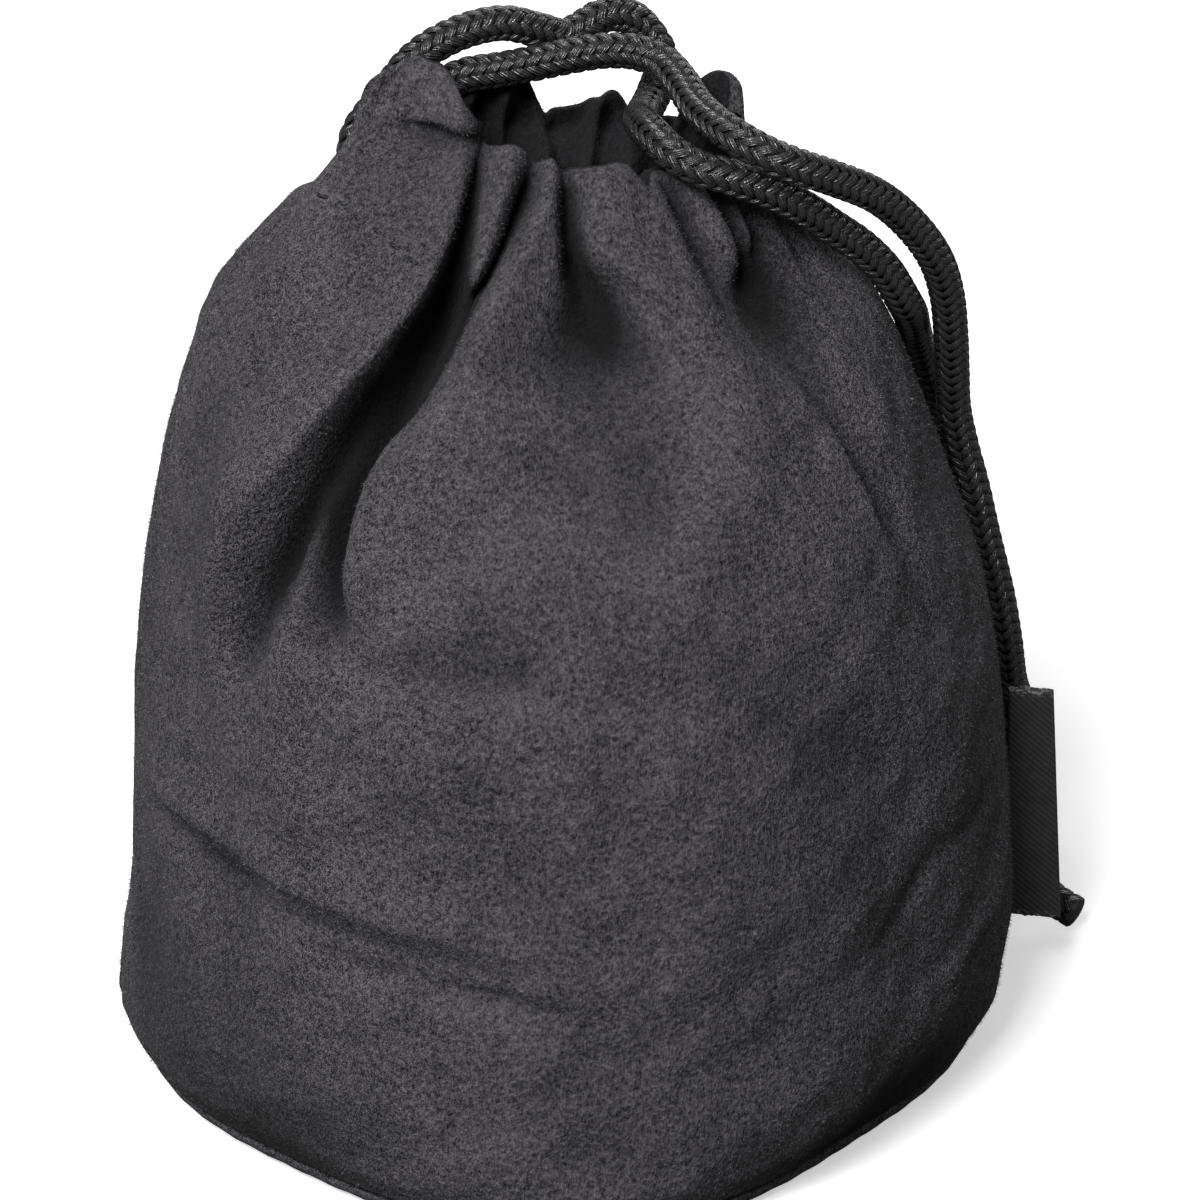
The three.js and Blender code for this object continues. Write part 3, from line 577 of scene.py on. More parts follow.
front_lip_line = [
    [176, 109.6], [186, 110.3], [200, 110.9], [214, 111.1], [226, 110.6], [232, 109.8], [236.5, 108.4],
    [239.5, 106.6], [242, 104.4], [244.5, 103.8], [247, 104], [250, 104.6], [254, 105.2], [257.5, 104.8],
    [260, 103.4], [262, 102.4], [264, 102.8], [267, 103.2], [269, 102.4], [270.5, 101.4], [273, 102.2],
    [278, 103], [284, 103.2], [288, 102.6], [291, 101.4], [293, 100.6], [297, 101], [303, 100.8],
    [309, 100], [313, 99.2], [322, 99.6], [340, 100.4], [352, 100.6], [362, 100.4]]
front_folds = [
    # Deep fold right of the ear.
    (3, [(242, 109, 2, 1.2, 1.2), (242.5, 104, 3, 1.3, 1.2), (243.8, 100, 4.8, 1.4, 1.3),
         (244.8, 96, 6.2, 1.6, 1.7), (244.5, 92, 8, 2.2, 2.6), (242, 89, 9.8, 2.8, 3),
         (238.4, 85.5, 11, 3.6, 2.8), (234.6, 82.2, 11, 4, 2.5), (232, 79, 10.6, 4.2, 2),
         (230.4, 75.5, 9.4, 4.4, 1.6), (229.2, 72.2, 8, 4.4, 1.5), (228.2, 69, 6.2, 4.4, 1.7),
         (227, 65.5, 3.4, 4.4, 2.4), (225, 60, 0, 4.4, 3)]),
    # Fold below it, to the left.
    (2, [(232, 87, 0, 1.4, 2.4), (228, 82, 2.4, 1.4, 2.4), (223.5, 77.5, 3.8, 1.4, 2.4),
         (219.2, 73, 5, 1.4, 2.6), (216, 68.5, 5.4, 1.5, 2.8), (213.6, 64, 4.8, 1.7, 3),
         (212.4, 59.8, 3.2, 2.2, 3.4), (211.6, 55, 1, 2.6, 4), (211, 50, 0, 3, 4)]),
    # Right end, tucked under the back's lap.
    (4, even_fold(3.5, 3.5, [(361, 108, 3.3), (361, 95, 3.3), (361, 90.5, 3.2), (361, 86.5, 0)])),
    # Thin ridge between the two folds.
    (2, [(237, 89, 0, 1, 1), (233.6, 85.8, -1, 1, 1), (230, 82, -1.6, 1.1, 1.1),
         (226.8, 78.5, -2.2, 1.2, 1.2), (224.4, 74.8, -2.4, 1.3, 1.3), (223, 71, -2.2, 1.4, 1.4),
         (222.4, 67, -1.5, 1.5, 1.5), (222, 61, 0, 1.6, 1.6)]),
    # Rolled right edge of the ear, which runs down to the left.
    (2, [(241, 101, 0, 3, 1.2), (240, 94.5, -1.4, 4, 1.3), (235.5, 90.5, -2.2, 5, 1.4),
         (230, 87, -2.6, 6, 1.5), (224.5, 83.2, -2.6, 6.5, 1.6), (219.4, 79.2, -2.6, 6.5, 1.7),
         (214.4, 75, -2.4, 6.5, 1.8), (210, 70.5, -2.2, 6.5, 2), (207.4, 66, -1.8, 6.5, 2.2),
         (205.4, 60, -1.2, 6, 3), (204, 52, 0, 6, 4)]),
    # Fine ridge near the left seam.
    (2, even_fold(0.6, 0.6, [(193, 98, 0), (193, 92, -0.3), (191, 84, -0.35), (189, 74, -0.3),
                             (188, 60, 0)])),
    # Bulge right of the deep fold.
    (2, [(259, 98, 0, 1.2, 4), (258, 94, -1, 1.2, 5), (255.5, 90, -2, 1.3, 6),
         (251.5, 86, -2.6, 1.4, 6.5), (246.5, 82.5, -2.8, 1.4, 6.5), (240.5, 79, -2.6, 1.4, 6.5),
         (236, 74.5, -2, 1.6, 6), (234.5, 69, -1.2, 2, 6), (236, 61, 0, 2, 6)]),
    # Crease right of the first pleat.
    (2, [(262, 106, 1, 1.6, 1.6), (260.8, 103, 2, 1.6, 1.5), (259.6, 100.6, 4.4, 1.5, 1.3),
         (258.8, 98.6, 6.2, 1.5, 1.2), (257, 96, 7, 1.6, 1.1), (254, 92.8, 7.6, 1.8, 1),
         (250.5, 88.5, 6.4, 2.2, 1), (246.5, 85, 3, 2.2, 1.1), (243, 82, 0, 2, 1.1)]),
    # Short line at the lip beside the deep fold.
    (2, [(247.5, 108, 0.8, 1, 1), (247, 103, 1.5, 0.9, 0.9), (246.8, 99, 1.4, 0.8, 0.8),
         (247, 95, 0, 0.8, 0.8)]),
    # Crease right of the second pleat.
    (2, [(269.6, 106, 0.8, 1.5, 1.5), (270.4, 102.4, 1.6, 1.4, 1.4), (271.2, 99.6, 4.2, 1.1, 1.2),
         (272, 97, 5.6, 1, 1.3), (273, 94, 4.8, 1.1, 1.6), (276, 91, 2.6, 1.2, 2),
         (279, 86, 0, 1.2, 2)]),
    # Crease right of the third pleat, which is a broad dome.
    (2, [(292.5, 105, 0.8, 1.8, 1.8), (296, 102, 1.6, 1.6, 1.6), (300, 99, 4, 1.3, 1.4),
         (302.5, 95.5, 3.3, 1.3, 1.4), (304, 92, 2, 1.2, 1.4), (305, 87, 0, 1, 1.4)]),
    # Four narrow pleats towards the right seam.
    (2, even_fold(1.2, 1.2, [(313, 102, 2.8), (315, 98, 3.4), (317, 94, 2.6), (318, 88, 0)])),
    (2, even_fold(1.2, 1.2, [(320, 102, 1.8), (322, 98, 2.4), (324, 94, 2), (326, 87, 0)])),
    (2, even_fold(1.3, 1.3, [(332, 102, 1.8), (334, 98, 2.2), (336, 93, 1.4), (337, 85, 0)])),
    (2, even_fold(1.3, 1.3, [(344, 103, 1.6), (345, 98, 2), (346, 93, 1.2), (347, 84, 0)])),
    # Crest of the second pleat.
    (2, [(267.2, 106, -0.8, 1.4, 1.4), (264.5, 101.5, -1.5, 1.4, 1.5), (261.5, 98, -1.9, 1.5, 1.8),
         (259, 94.8, -1.8, 1.6, 2), (256.8, 91.2, -1.2, 1.6, 2.2), (255, 86, 0, 1.6, 2.4)]),
    # Crest of the first pleat.
    (2, [(255.5, 107, -0.8, 1.8, 1.8), (254, 102, -1.5, 1.8, 1.8), (252, 97, -1.6, 1.6, 1.6),
         (249.8, 93, -1.5, 1.3, 1.3), (247, 89, -1.2, 1.2, 1.2), (243.5, 84.5, 0, 1.2, 1.2)]),
    # Ridge of the dome, which runs on down the belly.
    (2, [(284, 106, -0.8, 3, 2.6), (280.5, 101.5, -1.6, 2.4, 3), (282.5, 96.5, -2.2, 3, 3),
         (293, 92.5, -2.4, 3.6, 3.2), (297.5, 89, -2.6, 4, 3.6), (300, 86, -2.2, 4, 4),
         (298, 82, -1.6, 4, 4.4), (294, 78.5, -1.4, 4, 5), (288, 74.5, -1.2, 4, 5),
         (282, 71, -1.1, 4, 5), (277, 65, -1, 4, 5), (275.5, 60, -0.7, 4, 5), (276, 50, -0.8, 4, 5),
         (279, 42, -0.9, 4, 5), (280, 35, -0.7, 4, 5), (276, 27, 0, 4, 5)]),
    # Right edge of the belly.
    (2, even_fold(2.4, 1, [(305, 89, 0), (310, 83, -0.7), (315, 79, -1), (317, 74, -1), (319, 69, -0.9),
                           (321, 64, -0.6), (324, 56, 0)])),
    # Hollow beside that edge.
    (2, even_fold(1.4, 4, [(311, 88, 0), (318, 80, 1.6), (321, 74, 2), (323, 69, 1.6), (325, 60, 0)]))]
front_creases = [
    ([(228, 62.5, 0), (237, 62, 1.2), (246, 62, 1.7), (256, 62, 1.7), (268, 60, 1.4), (279, 59, 0.6),
      (286, 58, 0)], 5.5, 1.6),
    ([(228, 55, 0), (240, 54.5, -0.5), (256, 54, -0.6), (270, 53, -0.3), (280, 52, 0)], 3.0, 5.0),
    ([(184, 38, 0), (192, 38, -0.8), (213, 38.4, -1.2), (229, 37, -1.1), (246, 35.6, -0.7), (256, 35, 0)],
     3.5, 1.3),
    ([(186, 34.5, 0), (200, 34.6, 0.7), (221, 33.4, 0.9), (246, 32, 0.7), (256, 31, 0)], 1.4, 2.5),
    ([(218, 31.2, 0), (230, 30.2, 0.8), (246, 29.6, 1), (258, 28, 0.8), (268, 27.4, 0)], 1.2, 1.6),
    ([(300, 27, 0), (308, 29, 0.5), (316, 34, 0.7), (333, 35, 0.5), (344, 34, 0)], 2.0, 1.4),
    ([(308, 17, 0), (317, 19.5, -0.4), (326, 22.6, -0.5), (334, 24, -0.3), (342, 24.5, 0)], 2.0, 1.2)]
front_hollows = [((276.5, 91), (4, 4), 4.4), ((267.5, 87.5), (4, 3.2), 2.4), ((287, 88), (4, 3), 1.6),
                 ((273, 79), (10, 8), 1.5), ((318, 89), (5.5, 4.4), 4.4), ((304, 49), (8, 6), 0.9),
                 ((311, 43), (6, 5), 0.7), ((268, 51), (2.5, 7), 0.6), ((231, 104.6), (4.5, 1.0), 2.4),
                 ((186, 17), (16, 8), 1.3)]


def press_of(folds, creases, hollows, seed):
    """Press of a wall: its folds, creases, hollows and slack added up, at an angle and a height."""
    def press_at(angle, height):
        press = slack_press(angle, height, seed)
        for power, path in folds:
            press = press + fold_press(angle, height, path, power)
        for path, above, below in creases:
            press = press + crease_press(angle, height, path, above, below)
        for centre, size, depth in hollows:
            press = press + hollow_press(angle, height, centre, size, depth)
        return press
    return press_at


# Spots of painted shade on the front, where shade falls: at the foot, on the right side and near the ear.
front_shade_spots = [((203, 13), (18, 16), 0.4), ((318, 36), (24, 26), 0.32), ((312, 10), (20, 10), 0.2),
                 ((200, 75), (9, 14), 0.16), ((218, 101), (6, 6), 0.22)]
front_slides = [
    # Bulge right of the deep fold, which hangs over it.
    (2, [(261.5, 100, 0, 1.2, 3), (259.5, 96, -1.2, 1.2, 3), (256.5, 92.5, -1.8, 1.2, 4),
         (252.6, 88.5, -2.2, 1.2, 5), (247.5, 84.5, -2.6, 1.2, 5), (240.8, 81, -2.4, 1.2, 5),
         (235.8, 76.5, -1.4, 1.2, 5), (233.8, 71.5, -0.7, 1.4, 5), (232, 65, 0, 1.6, 5)]),
    # Ear's edge, drawn over the first pleat.
    (2, even_fold(4, 1.2, [(240, 110, 1), (239.5, 103, 1.2), (240, 97, 0.8), (238, 91, 0)]))]
front_tunnel = (208, 334)
front_press = press_of(front_folds, front_creases, front_hollows, seed=11)
front_cloth, front_face, front_painted_shade = sew_wall("front_cloth", 180, front_lip_line, front_tunnel,
                                                front_press, front_shade_spots, front_slides, ear=True)
front_cloth.data.materials.append(suede)
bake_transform(front_cloth)
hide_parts("front_panel", "front_casing")

# Back cloth: the other half of the wall, gathered on the cord in the same way. Its lip is lower,
# with a tall corner at the right, and it is cut down at the left where both tails come out.
back_lip_line = [
    [-6, 102], [3, 104.2], [9, 106], [15, 106.9], [22, 107], [29, 106.4], [36, 105.2], [41, 103.8],
    [46, 101], [50, 99.4], [55, 99.2], [61, 99.4], [64.5, 100.2], [68, 102.2], [71.5, 102.8],
    [75, 102.2], [78.5, 100], [86, 99.4], [90, 101.4], [94, 104], [99, 105], [103, 104.2], [107, 105.2],
    [112, 104.6], [116, 103.6], [121, 102.6], [126, 100.8], [131, 98.4], [136, 96.4], [141, 95.6],
    [158, 95.6], [168, 96.8], [175, 98], [182, 98.6]]
back_folds = [
    # Left end, tucked under the front's lap.
    (4, even_fold(3.5, 3.5, [(181, 108, 3.3), (181, 95, 3.3), (181, 90.5, 3.2), (181, 86.5, 0)])),
    # Cut-down corner where the tails come out.
    (3, [(172, 101, 0.4, 5, 6), (172, 95, 0.9, 6, 7), (172, 90, 0.8, 6, 7), (172, 84, 0, 6, 7)]),
    # Dent at the foot of the tall corner.
    (2, even_fold(4, 4, [(12, 108, -0.2), (12, 104, 1.4), (12, 100, 3.2), (12, 95, 1.4), (12, 90, 0)])),
    # Lobe left of the middle, pushed out.
    (2, even_fold(6, 5, [(107, 108, -2.8), (107, 103, -2.4), (107, 98, -0.8), (107, 92, 0)])),
    # Narrow pleats and deep folds between.
    (2, even_fold(1.4, 1.6, [(31, 105, 1.4), (31, 98, 2), (31, 92, 1.4), (31, 84, 0)])),
    (2, even_fold(1.1, 1.1, [(45, 101, 2), (46, 97, 2.6), (48, 92, 2), (46, 85, 0)])),
    (3, [(60, 101, 2.4, 1.4, 1.4), (58.5, 96, 4, 1.8, 1.8), (55, 91, 6, 3, 2.8), (49, 84, 7, 4, 4),
         (43, 75, 5.4, 4.4, 4), (39, 66, 2.4, 4.4, 4.4), (37, 58, 0, 4, 4)]),
    (2, [(73, 101, 2.2, 1, 1), (74, 97, 2.8, 1, 1), (76, 93, 2, 1, 1.2), (78, 87, 0, 1, 1.2)]),
    (2, [(88, 100, 2.6, 1, 1.2), (87, 96, 3.6, 1, 1.4), (85, 92, 3.4, 1.2, 1.6), (80, 86, 2, 1.6, 2),
         (77, 77, 0, 1.8, 2.2)]),
    (2, even_fold(1, 1, [(101, 100, 2.2), (102, 96, 2.8), (105, 92, 1.8), (107, 86, 0)])),
    (3, [(113, 101, 2.4, 1.4, 1.4), (115, 96, 4, 1.8, 1.8), (120, 91, 6.4, 2.8, 3), (127, 84, 8, 4, 4),
         (134, 76, 6.6, 4.2, 4.4), (139, 68, 3.6, 4.6, 5), (142, 59, 0, 4, 5)]),
    # Bulges between the folds.
    (2, [(92, 95, 0, 4, 5), (96, 88, -1.8, 4.5, 5), (101, 80, -2.2, 4.5, 5), (104, 70, -1.4, 4.5, 5),
         (106, 57, 0, 4.5, 5)]),
    (2, [(113, 93, 0, 5, 1.4), (118.5, 85, -2, 5, 1.6), (126, 76, -2.2, 5, 1.8), (131, 66, 0, 5, 2)]),
    (2, [(67, 93, 0, 1.8, 4), (59, 84, -1.8, 1.8, 4.5), (52, 75, -1.8, 2, 4.5), (47, 62, 0, 2, 4.5)])]
back_creases = [
    ([(60, 58, 0), (76, 60, 0.8), (98, 61, 1.0), (118, 60, 0.6), (132, 58, 0)], 5.0, 2.0),
    ([(40, 33, 0), (62, 34, -0.5), (90, 36, -0.6), (118, 37, -0.5), (140, 38, 0)], 3.0, 1.4),
    ([(44, 29.5, 0), (66, 30.5, 0.5), (92, 32.4, 0.6), (118, 33.4, 0.4), (136, 34, 0)], 1.4, 2.2)]
back_hollows = [((95, 91), (6, 4), 1.8), ((68, 90), (5, 4), 1.4), ((112, 48), (9, 7), 0.7),
                ((174, 17), (16, 8), 1.3)]
# Spots of painted shade on the back, where shade falls.
back_shade_spots = [((30, 14), (18, 14), 0.3), ((150, 40), (22, 20), 0.25), ((96, 72), (12, 12), 0.2)]
back_tunnel = (25, 116)
back_press = press_of(back_folds, back_creases, back_hollows, seed=23)
back_cloth, back_face, back_painted_shade = sew_wall("back_cloth", 0, back_lip_line, back_tunnel, back_press,
                                             back_shade_spots)
back_cloth.data.materials.append(suede)
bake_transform(back_cloth)
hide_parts("back_panel", "back_casing")

# Nap: the brushed-up fibres of the suede, which stand out of both cloths, lean down with the nap and
# fuzz their outline. Each is far thinner than a hair, so they are drawn a little thicker.
fibre_count = 46000
fibre_radius = 0.032
fibre_lengths = (0.2, 0.62)
fibre_root = 0.06
fibre_stand, fibre_stray, fibre_fall = 0.8, 0.35, (0, 0, -0.35)
fibre_light = (0.43, 0.408, 0.44, 1)
fibre, fibre_tree, fibre_shader = new_material("nap_fibre")
# The fibres take the cloth's painted shade from the press mark, and the nap group's painted speckle.
fibre_painted_shade = add_node(fibre_tree, "ShaderNodeAttribute", attribute_name="press").outputs["Fac"]
fibre_nap = add_node(fibre_tree, "ShaderNodeGroup", node_tree=nap_group)
fibre_nap.inputs["Dark"].default_value = suede_dark
fibre_nap.inputs["Light"].default_value = fibre_light
fibre_tree.links.new(fibre_painted_shade, fibre_nap.inputs["Press"])
fibre_tree.links.new(fibre_nap.outputs["Color"], fibre_shader.inputs["Base Color"])
fibre_shader.inputs["Roughness"].default_value = 0.9
fibre_shader.inputs["Specular IOR Level"].default_value = 0.15


def brush_nap(name, face, depth, seed):
    """Fibres on a grid of points: each root lies at a random place of a grid cell, drawn by the cells'
    areas, and its fibre is a thin closed spike along the cell's normal, turned by a random amount
    and bent down with the nap."""
    random = np.random.default_rng(seed)
    corner, up, across = face[:-1, :-1], face[1:, :-1] - face[:-1, :-1], face[:-1, 1:] - face[:-1, :-1]
    normal = np.cross(across, up).reshape(-1, 3)
    area = np.linalg.norm(normal, axis=1)
    cell = np.searchsorted(np.cumsum(area) / area.sum(), random.uniform(0, 1, fibre_count))
    cell = np.minimum(cell, len(area) - 1)
    along = random.uniform(0, 1, (2, fibre_count, 1))
    up, across, corner = (k.reshape(-1, 3)[cell] for k in (up, across, corner))
    normal = normal[cell] / area[cell, None]
    root = corner + along[0] * up + along[1] * across - normal * fibre_root
    heading = unit(fibre_stand * normal + fibre_stray * random.normal(size=(fibre_count, 3)) + fibre_fall)
    first = unit(np.cross(heading, random.normal(size=(fibre_count, 3))))
    second = np.cross(heading, first)
    turn = np.arange(3) * 2 * math.pi / 3
    foot = root[:, None] + fibre_radius * (np.cos(turn)[:, None] * first[:, None]
                                           + np.sin(turn)[:, None] * second[:, None])
    tip_point = root + heading * random.uniform(*fibre_lengths, (fibre_count, 1))
    spikes = np.concatenate([foot, tip_point[:, None]], 1)
    faces = np.array([[0, 2, 1], [0, 1, 3], [1, 2, 3], [2, 0, 3]])
    tris = (faces + 4 * np.arange(fibre_count)[:, None, None]).reshape(-1, 3)
    # Each fibre takes the painted shade of its cell.
    dark = np.repeat(depth[:-1, :-1].ravel()[cell], 4)
    piece = add_piece(name, spikes.reshape(-1, 3), [], tris, marks={"press": dark})
    piece.data.materials.append(fibre)
    return piece


front_nap = brush_nap("front_nap", front_face, front_painted_shade, seed=5)
back_nap = brush_nap("back_nap", back_face, back_painted_shade, seed=6)
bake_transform(front_nap)
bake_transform(back_nap)

# Seam threads: black sewing thread in short stitches along the two side seams and round the base
# seam, sunk into the groove where the cloth edges meet.
thread_radius = 0.21
thread_colours = ((0.004, 0.004, 0.004, 1), (0.022, 0.022, 0.024, 1))
seam_stitch_length, seam_stitch_space = 2.3, 0.5
seam_sink = 1.15
seam_rise = 0.1
seam_foot, seam_top = 8, 86
base_stitch_radius, base_stitch_height = 43.6, 2.75
steepest_stitch = 0.45
stitch_points = 9
thread_lay = (9.0, 12.6)
thread_end_radius = 0.03


def resample(line, step):
    """Points along a line at even steps of about that length."""
    reach = np.concatenate([[0], np.cumsum(np.linalg.norm(np.diff(line, axis=0), axis=1))])
    along = np.linspace(0, reach[-1], max(int(round(reach[-1] / step)), 2) + 1)
    return np.stack([np.interp(along, reach, line[:, k]) for k in range(3)], 1), along


def sweep(lines, up, half_width, half_height, sides):
    """Closed strands, one along each line: every point of a line gets an oval ring with its height
    along up and its width square to up and to the line, and flat ends. It returns the points, the
    quads, their corners' places (millimetres along, share round) and the end triangles."""
    count, steps, _ = lines.shape
    tangent = unit(np.gradient(lines, axis=1))
    up = unit(up - tangent * np.sum(up * tangent, -1, keepdims=True))
    side = np.cross(up, tangent)
    turn = np.arange(sides) * 2 * math.pi / sides
    half_width = np.broadcast_to(half_width, (count, steps))[..., None, None]
    half_height = np.broadcast_to(half_height, (count, steps))[..., None, None]
    points = (lines[:, :, None] + half_width * np.cos(turn)[:, None] * side[:, :, None]
              + half_height * np.sin(turn)[:, None] * up[:, :, None])
    quads, places = ring_quads(steps, sides)
    spacing = np.linalg.norm(np.diff(lines[0], axis=0), axis=1).mean()
    places = places * np.array([spacing, 1 / sides])
    fan = np.arange(1, sides - 1)
    ends = np.concatenate([np.stack([0 * fan, fan + 1, fan], 1),
                           np.stack([0 * fan, fan, fan + 1], 1) + (steps - 1) * sides])
    shift = np.arange(count)[:, None, None] * steps * sides
    return (points.reshape(-1, 3), (quads + shift).reshape(-1, 4),
            np.broadcast_to(places, (count,) + places.shape).reshape(-1, 4, 2),
            (ends + shift).reshape(-1, 3))


def stitches(name, line, out, length, space, rise):
    """Row of stitches along a line: each is a short strand that rises out of the cloth as half a
    sine and goes down into it at both ends. Where the line runs steeply into a pleat the thread
    lies inside the cloth."""
    fine, along = resample(np.asarray(line), step=0.2)
    count = int(along[-1] // (length + space))
    share = np.linspace(0, 1, stitch_points)
    reach = (np.arange(count)[:, None] + 0.5) * along[-1] / count + (share - 0.5) * length
    lines = np.stack([np.interp(reach, along, fine[:, k]) for k in range(3)], -1)
    up = np.stack([np.interp(reach, np.linspace(0, along[-1], len(out)), out[:, k]) for k in range(3)], -1)
    slope = np.abs(np.sum(unit(lines[:, -1] - lines[:, 0]) * unit(up[:, stitch_points // 2]), -1))
    lines, up = lines[slope < steepest_stitch], up[slope < steepest_stitch]
    lines = lines + unit(up) * (rise * (2 * np.sin(math.pi * share) - 1))[:, None]
    width = thread_radius * (1 - (2 * share - 1) ** 8) ** 0.5 + thread_end_radius
    points, quads, places, ends = sweep(lines, up, width, width, sides=6)
    return add_piece(name, points, quads, ends, places)


thread, thread_tree, thread_shader = new_material("thread")
thread_place = add_node(thread_tree, "ShaderNodeUVMap").outputs[0]
thread_axis = add_node(thread_tree, "ShaderNodeSeparateXYZ", {0: thread_place}).outputs
thread_turns = weigh(thread_tree, [(thread_axis[0], thread_lay[0]), (thread_axis[1], thread_lay[1])])
thread_twist = math_node(thread_tree, "SINE", thread_turns)
thread_mix = mix_colour(thread_tree, weigh(thread_tree, [(thread_twist, 0.4)], 0.5), *thread_colours)
finish(thread_tree, thread_shader, thread_mix, thread_twist, strength=0.5, distance=0.0001, roughness=0.6)

seam_height = np.linspace(seam_foot, seam_top, 220)
for seam_name, seam_angle, seam_node, seam_press in (
        ("left_seam_stitches", 180, "left_seam_thread", front_press),
        ("right_seam_stitches", 0, "right_seam_thread", back_press)):
    seam_angles = np.full_like(seam_height, seam_angle)
    seam_line = wall_point(seam_angles, seam_height, np.full_like(seam_height, seam_sink),
                           seam_press(seam_angles, seam_height))
    seam_out = np.tile([math.cos(math.radians(seam_angle)), 0, 0], (len(seam_height), 1))
    seam = stitches(seam_name, seam_line, seam_out, seam_stitch_length, seam_stitch_space, seam_rise)
    seam.data.materials.append(thread)
    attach(seam, "pouch")
    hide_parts(seam_node)
base_turn = np.linspace(0, 2 * math.pi, 361)
base_out = np.stack([np.cos(base_turn), np.sin(base_turn), 0 * base_turn], 1)
base_line = base_out * (base_stitch_radius - foot_tuck(np.degrees(base_turn)))[:, None]
base_line = base_line + [0, 0, base_stitch_height]
base_seam = stitches("base_seam_stitches", base_line, base_out, seam_stitch_length, seam_stitch_space,
                     seam_rise)
base_seam.data.materials.append(thread)
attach(base_seam, "pouch")
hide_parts("base_seam_thread")

# Side label: a black woven ribbon folded double, with its two raw ends sewn into the right seam.
# It stands out from the wall, droops a little and can be turned either way. The cut threads of its
# upper and lower edges show as light ends.
label_foot, label_height = 8.5, 27
label_root, label_hinge = 47.32, 47.565
label_foot_reach, label_top_reach = 6.2, 4.5
label_half = 0.14
label_spread = 0.28
label_bow = 0.07
label_sway, label_sway_turn, label_sway_start = 0.02, 3.4, 0.6
label_foot_droop, label_top_droop = 1.3, 0.8
label_fray = 0.09
fray_reach, fray_edge = 0.75, 0.1
fray_colour = (0.26, 0.26, 0.27, 1)
twill_lines, pick_lines, wear_scale = 9000, 21000, 900
cut_thread_scale, cut_thread_range = 2600, (0.5, 0.62)
ribbon_colours = ((0.010, 0.010, 0.011, 1), (0.062, 0.062, 0.066, 1))
label_rows, label_cell_width = 70, 0.45
label_share = np.linspace(0, 1, label_rows)[:, None]
label_tip = label_hinge + label_foot_reach + (label_top_reach - label_foot_reach) * label_share
label_level = label_foot + label_height * label_share
fold_turn = np.linspace(-math.pi / 2, math.pi / 2, 9)
layer_share = np.linspace(0, 1, 16)[:-1]


def ribbon_line(offset):
    """Section of the folded ribbon in each row, moved square to itself by offset: the front layer
    from the root to the fold, half a circle, and the back layer to the root again. The layers bow
    apart by a half sine between root and fold."""
    bend = label_spread + offset
    layer_end = label_tip - label_spread - label_half
    layer_x = label_root + (layer_end - label_root) * layer_share
    bow = label_bow * np.sin(math.pi * layer_share) + 0 * label_share
    fold_x = layer_end + bend * np.cos(fold_turn)
    fold_y = bend * np.sin(fold_turn) + 0 * label_share
    x = np.concatenate([layer_x, fold_x, layer_x[:, ::-1]], 1)
    y = np.concatenate([-bend - bow, fold_y, bend + bow[:, ::-1]], 1)
    return np.stack([x, y, label_level + 0 * x], 2)


label_outer, label_inner = ribbon_line(label_half), ribbon_line(-label_half)
label_section = np.concatenate([label_outer, label_inner[:, ::-1]], 1)
label_reach = label_section[..., 0:1] - label_hinge
label_turn = label_sway_turn * label_share[..., None] + label_sway_start
label_section[..., 1:2] += label_sway * label_reach * np.sin(label_turn)
label_droop = label_foot_droop + (label_top_droop - label_foot_droop) * label_share[..., None]
label_section[..., 2:3] -= label_droop * label_reach / label_foot_reach
label_sides = label_section.shape[1]
label_section[[0, -1], :, 2] += np.random.default_rng(3).normal(0, label_fray, (2, label_sides))
label_quads, label_places = ring_quads(label_rows, label_sides)
strip = np.arange(label_sides // 2 - 1)
label_cap = np.stack([strip, strip + 1, label_sides - 2 - strip, label_sides - 1 - strip], 1)
label_caps = np.concatenate([label_cap[:, ::-1], label_cap + (label_rows - 1) * label_sides])
label_uv = label_places[..., ::-1] * np.array([label_cell_width, label_height / (label_rows - 1)])
label_uv = np.concatenate([label_uv, np.zeros((len(label_caps), 4, 2))])
label = add_piece("woven_label", label_section.reshape(-1, 3), np.concatenate([label_quads, label_caps]),
                  corner_uv=label_uv)
ribbon, ribbon_tree, ribbon_shader = new_material("ribbon")
ribbon_place = add_node(ribbon_tree, "ShaderNodeTexCoord").outputs["Object"]
ribbon_axis = add_node(ribbon_tree, "ShaderNodeSeparateXYZ", {0: ribbon_place}).outputs
ribbon_slant = weigh(ribbon_tree, [(ribbon_axis[0], twill_lines), (ribbon_axis[2], twill_lines)])
ribbon_twill = math_node(ribbon_tree, "SINE", ribbon_slant)
ribbon_pick = math_node(ribbon_tree, "SINE", weigh(ribbon_tree, [(ribbon_axis[2], pick_lines)]))
ribbon_wear = noise_node(ribbon_tree, ribbon_place, wear_scale, detail=3)
ribbon_value = weigh(ribbon_tree, [(ribbon_twill, 0.22), (ribbon_pick, 0.12), (ribbon_wear, 0.7)], 0.12)
ribbon_mix = mix_colour(ribbon_tree, ribbon_value, *ribbon_colours)
ribbon_uv = add_node(ribbon_tree, "ShaderNodeUVMap").outputs[0]
ribbon_rise = add_node(ribbon_tree, "ShaderNodeSeparateXYZ", {0: ribbon_uv}).outputs[1]
from_middle = math_node(ribbon_tree, "SUBTRACT", ribbon_rise, label_height / 2)
from_middle = math_node(ribbon_tree, "ABSOLUTE", from_middle)
fray_from, fray_to = label_height / 2 - fray_reach, label_height / 2 - fray_edge
ribbon_edge = add_node(ribbon_tree, "ShaderNodeMapRange", {0: from_middle, 1: fray_from, 2: fray_to})
cut_noise = noise_node(ribbon_tree, ribbon_place, cut_thread_scale, detail=1)
cut_threads = add_node(ribbon_tree, "ShaderNodeMapRange",
                       {0: cut_noise, 1: cut_thread_range[0], 2: cut_thread_range[1]})
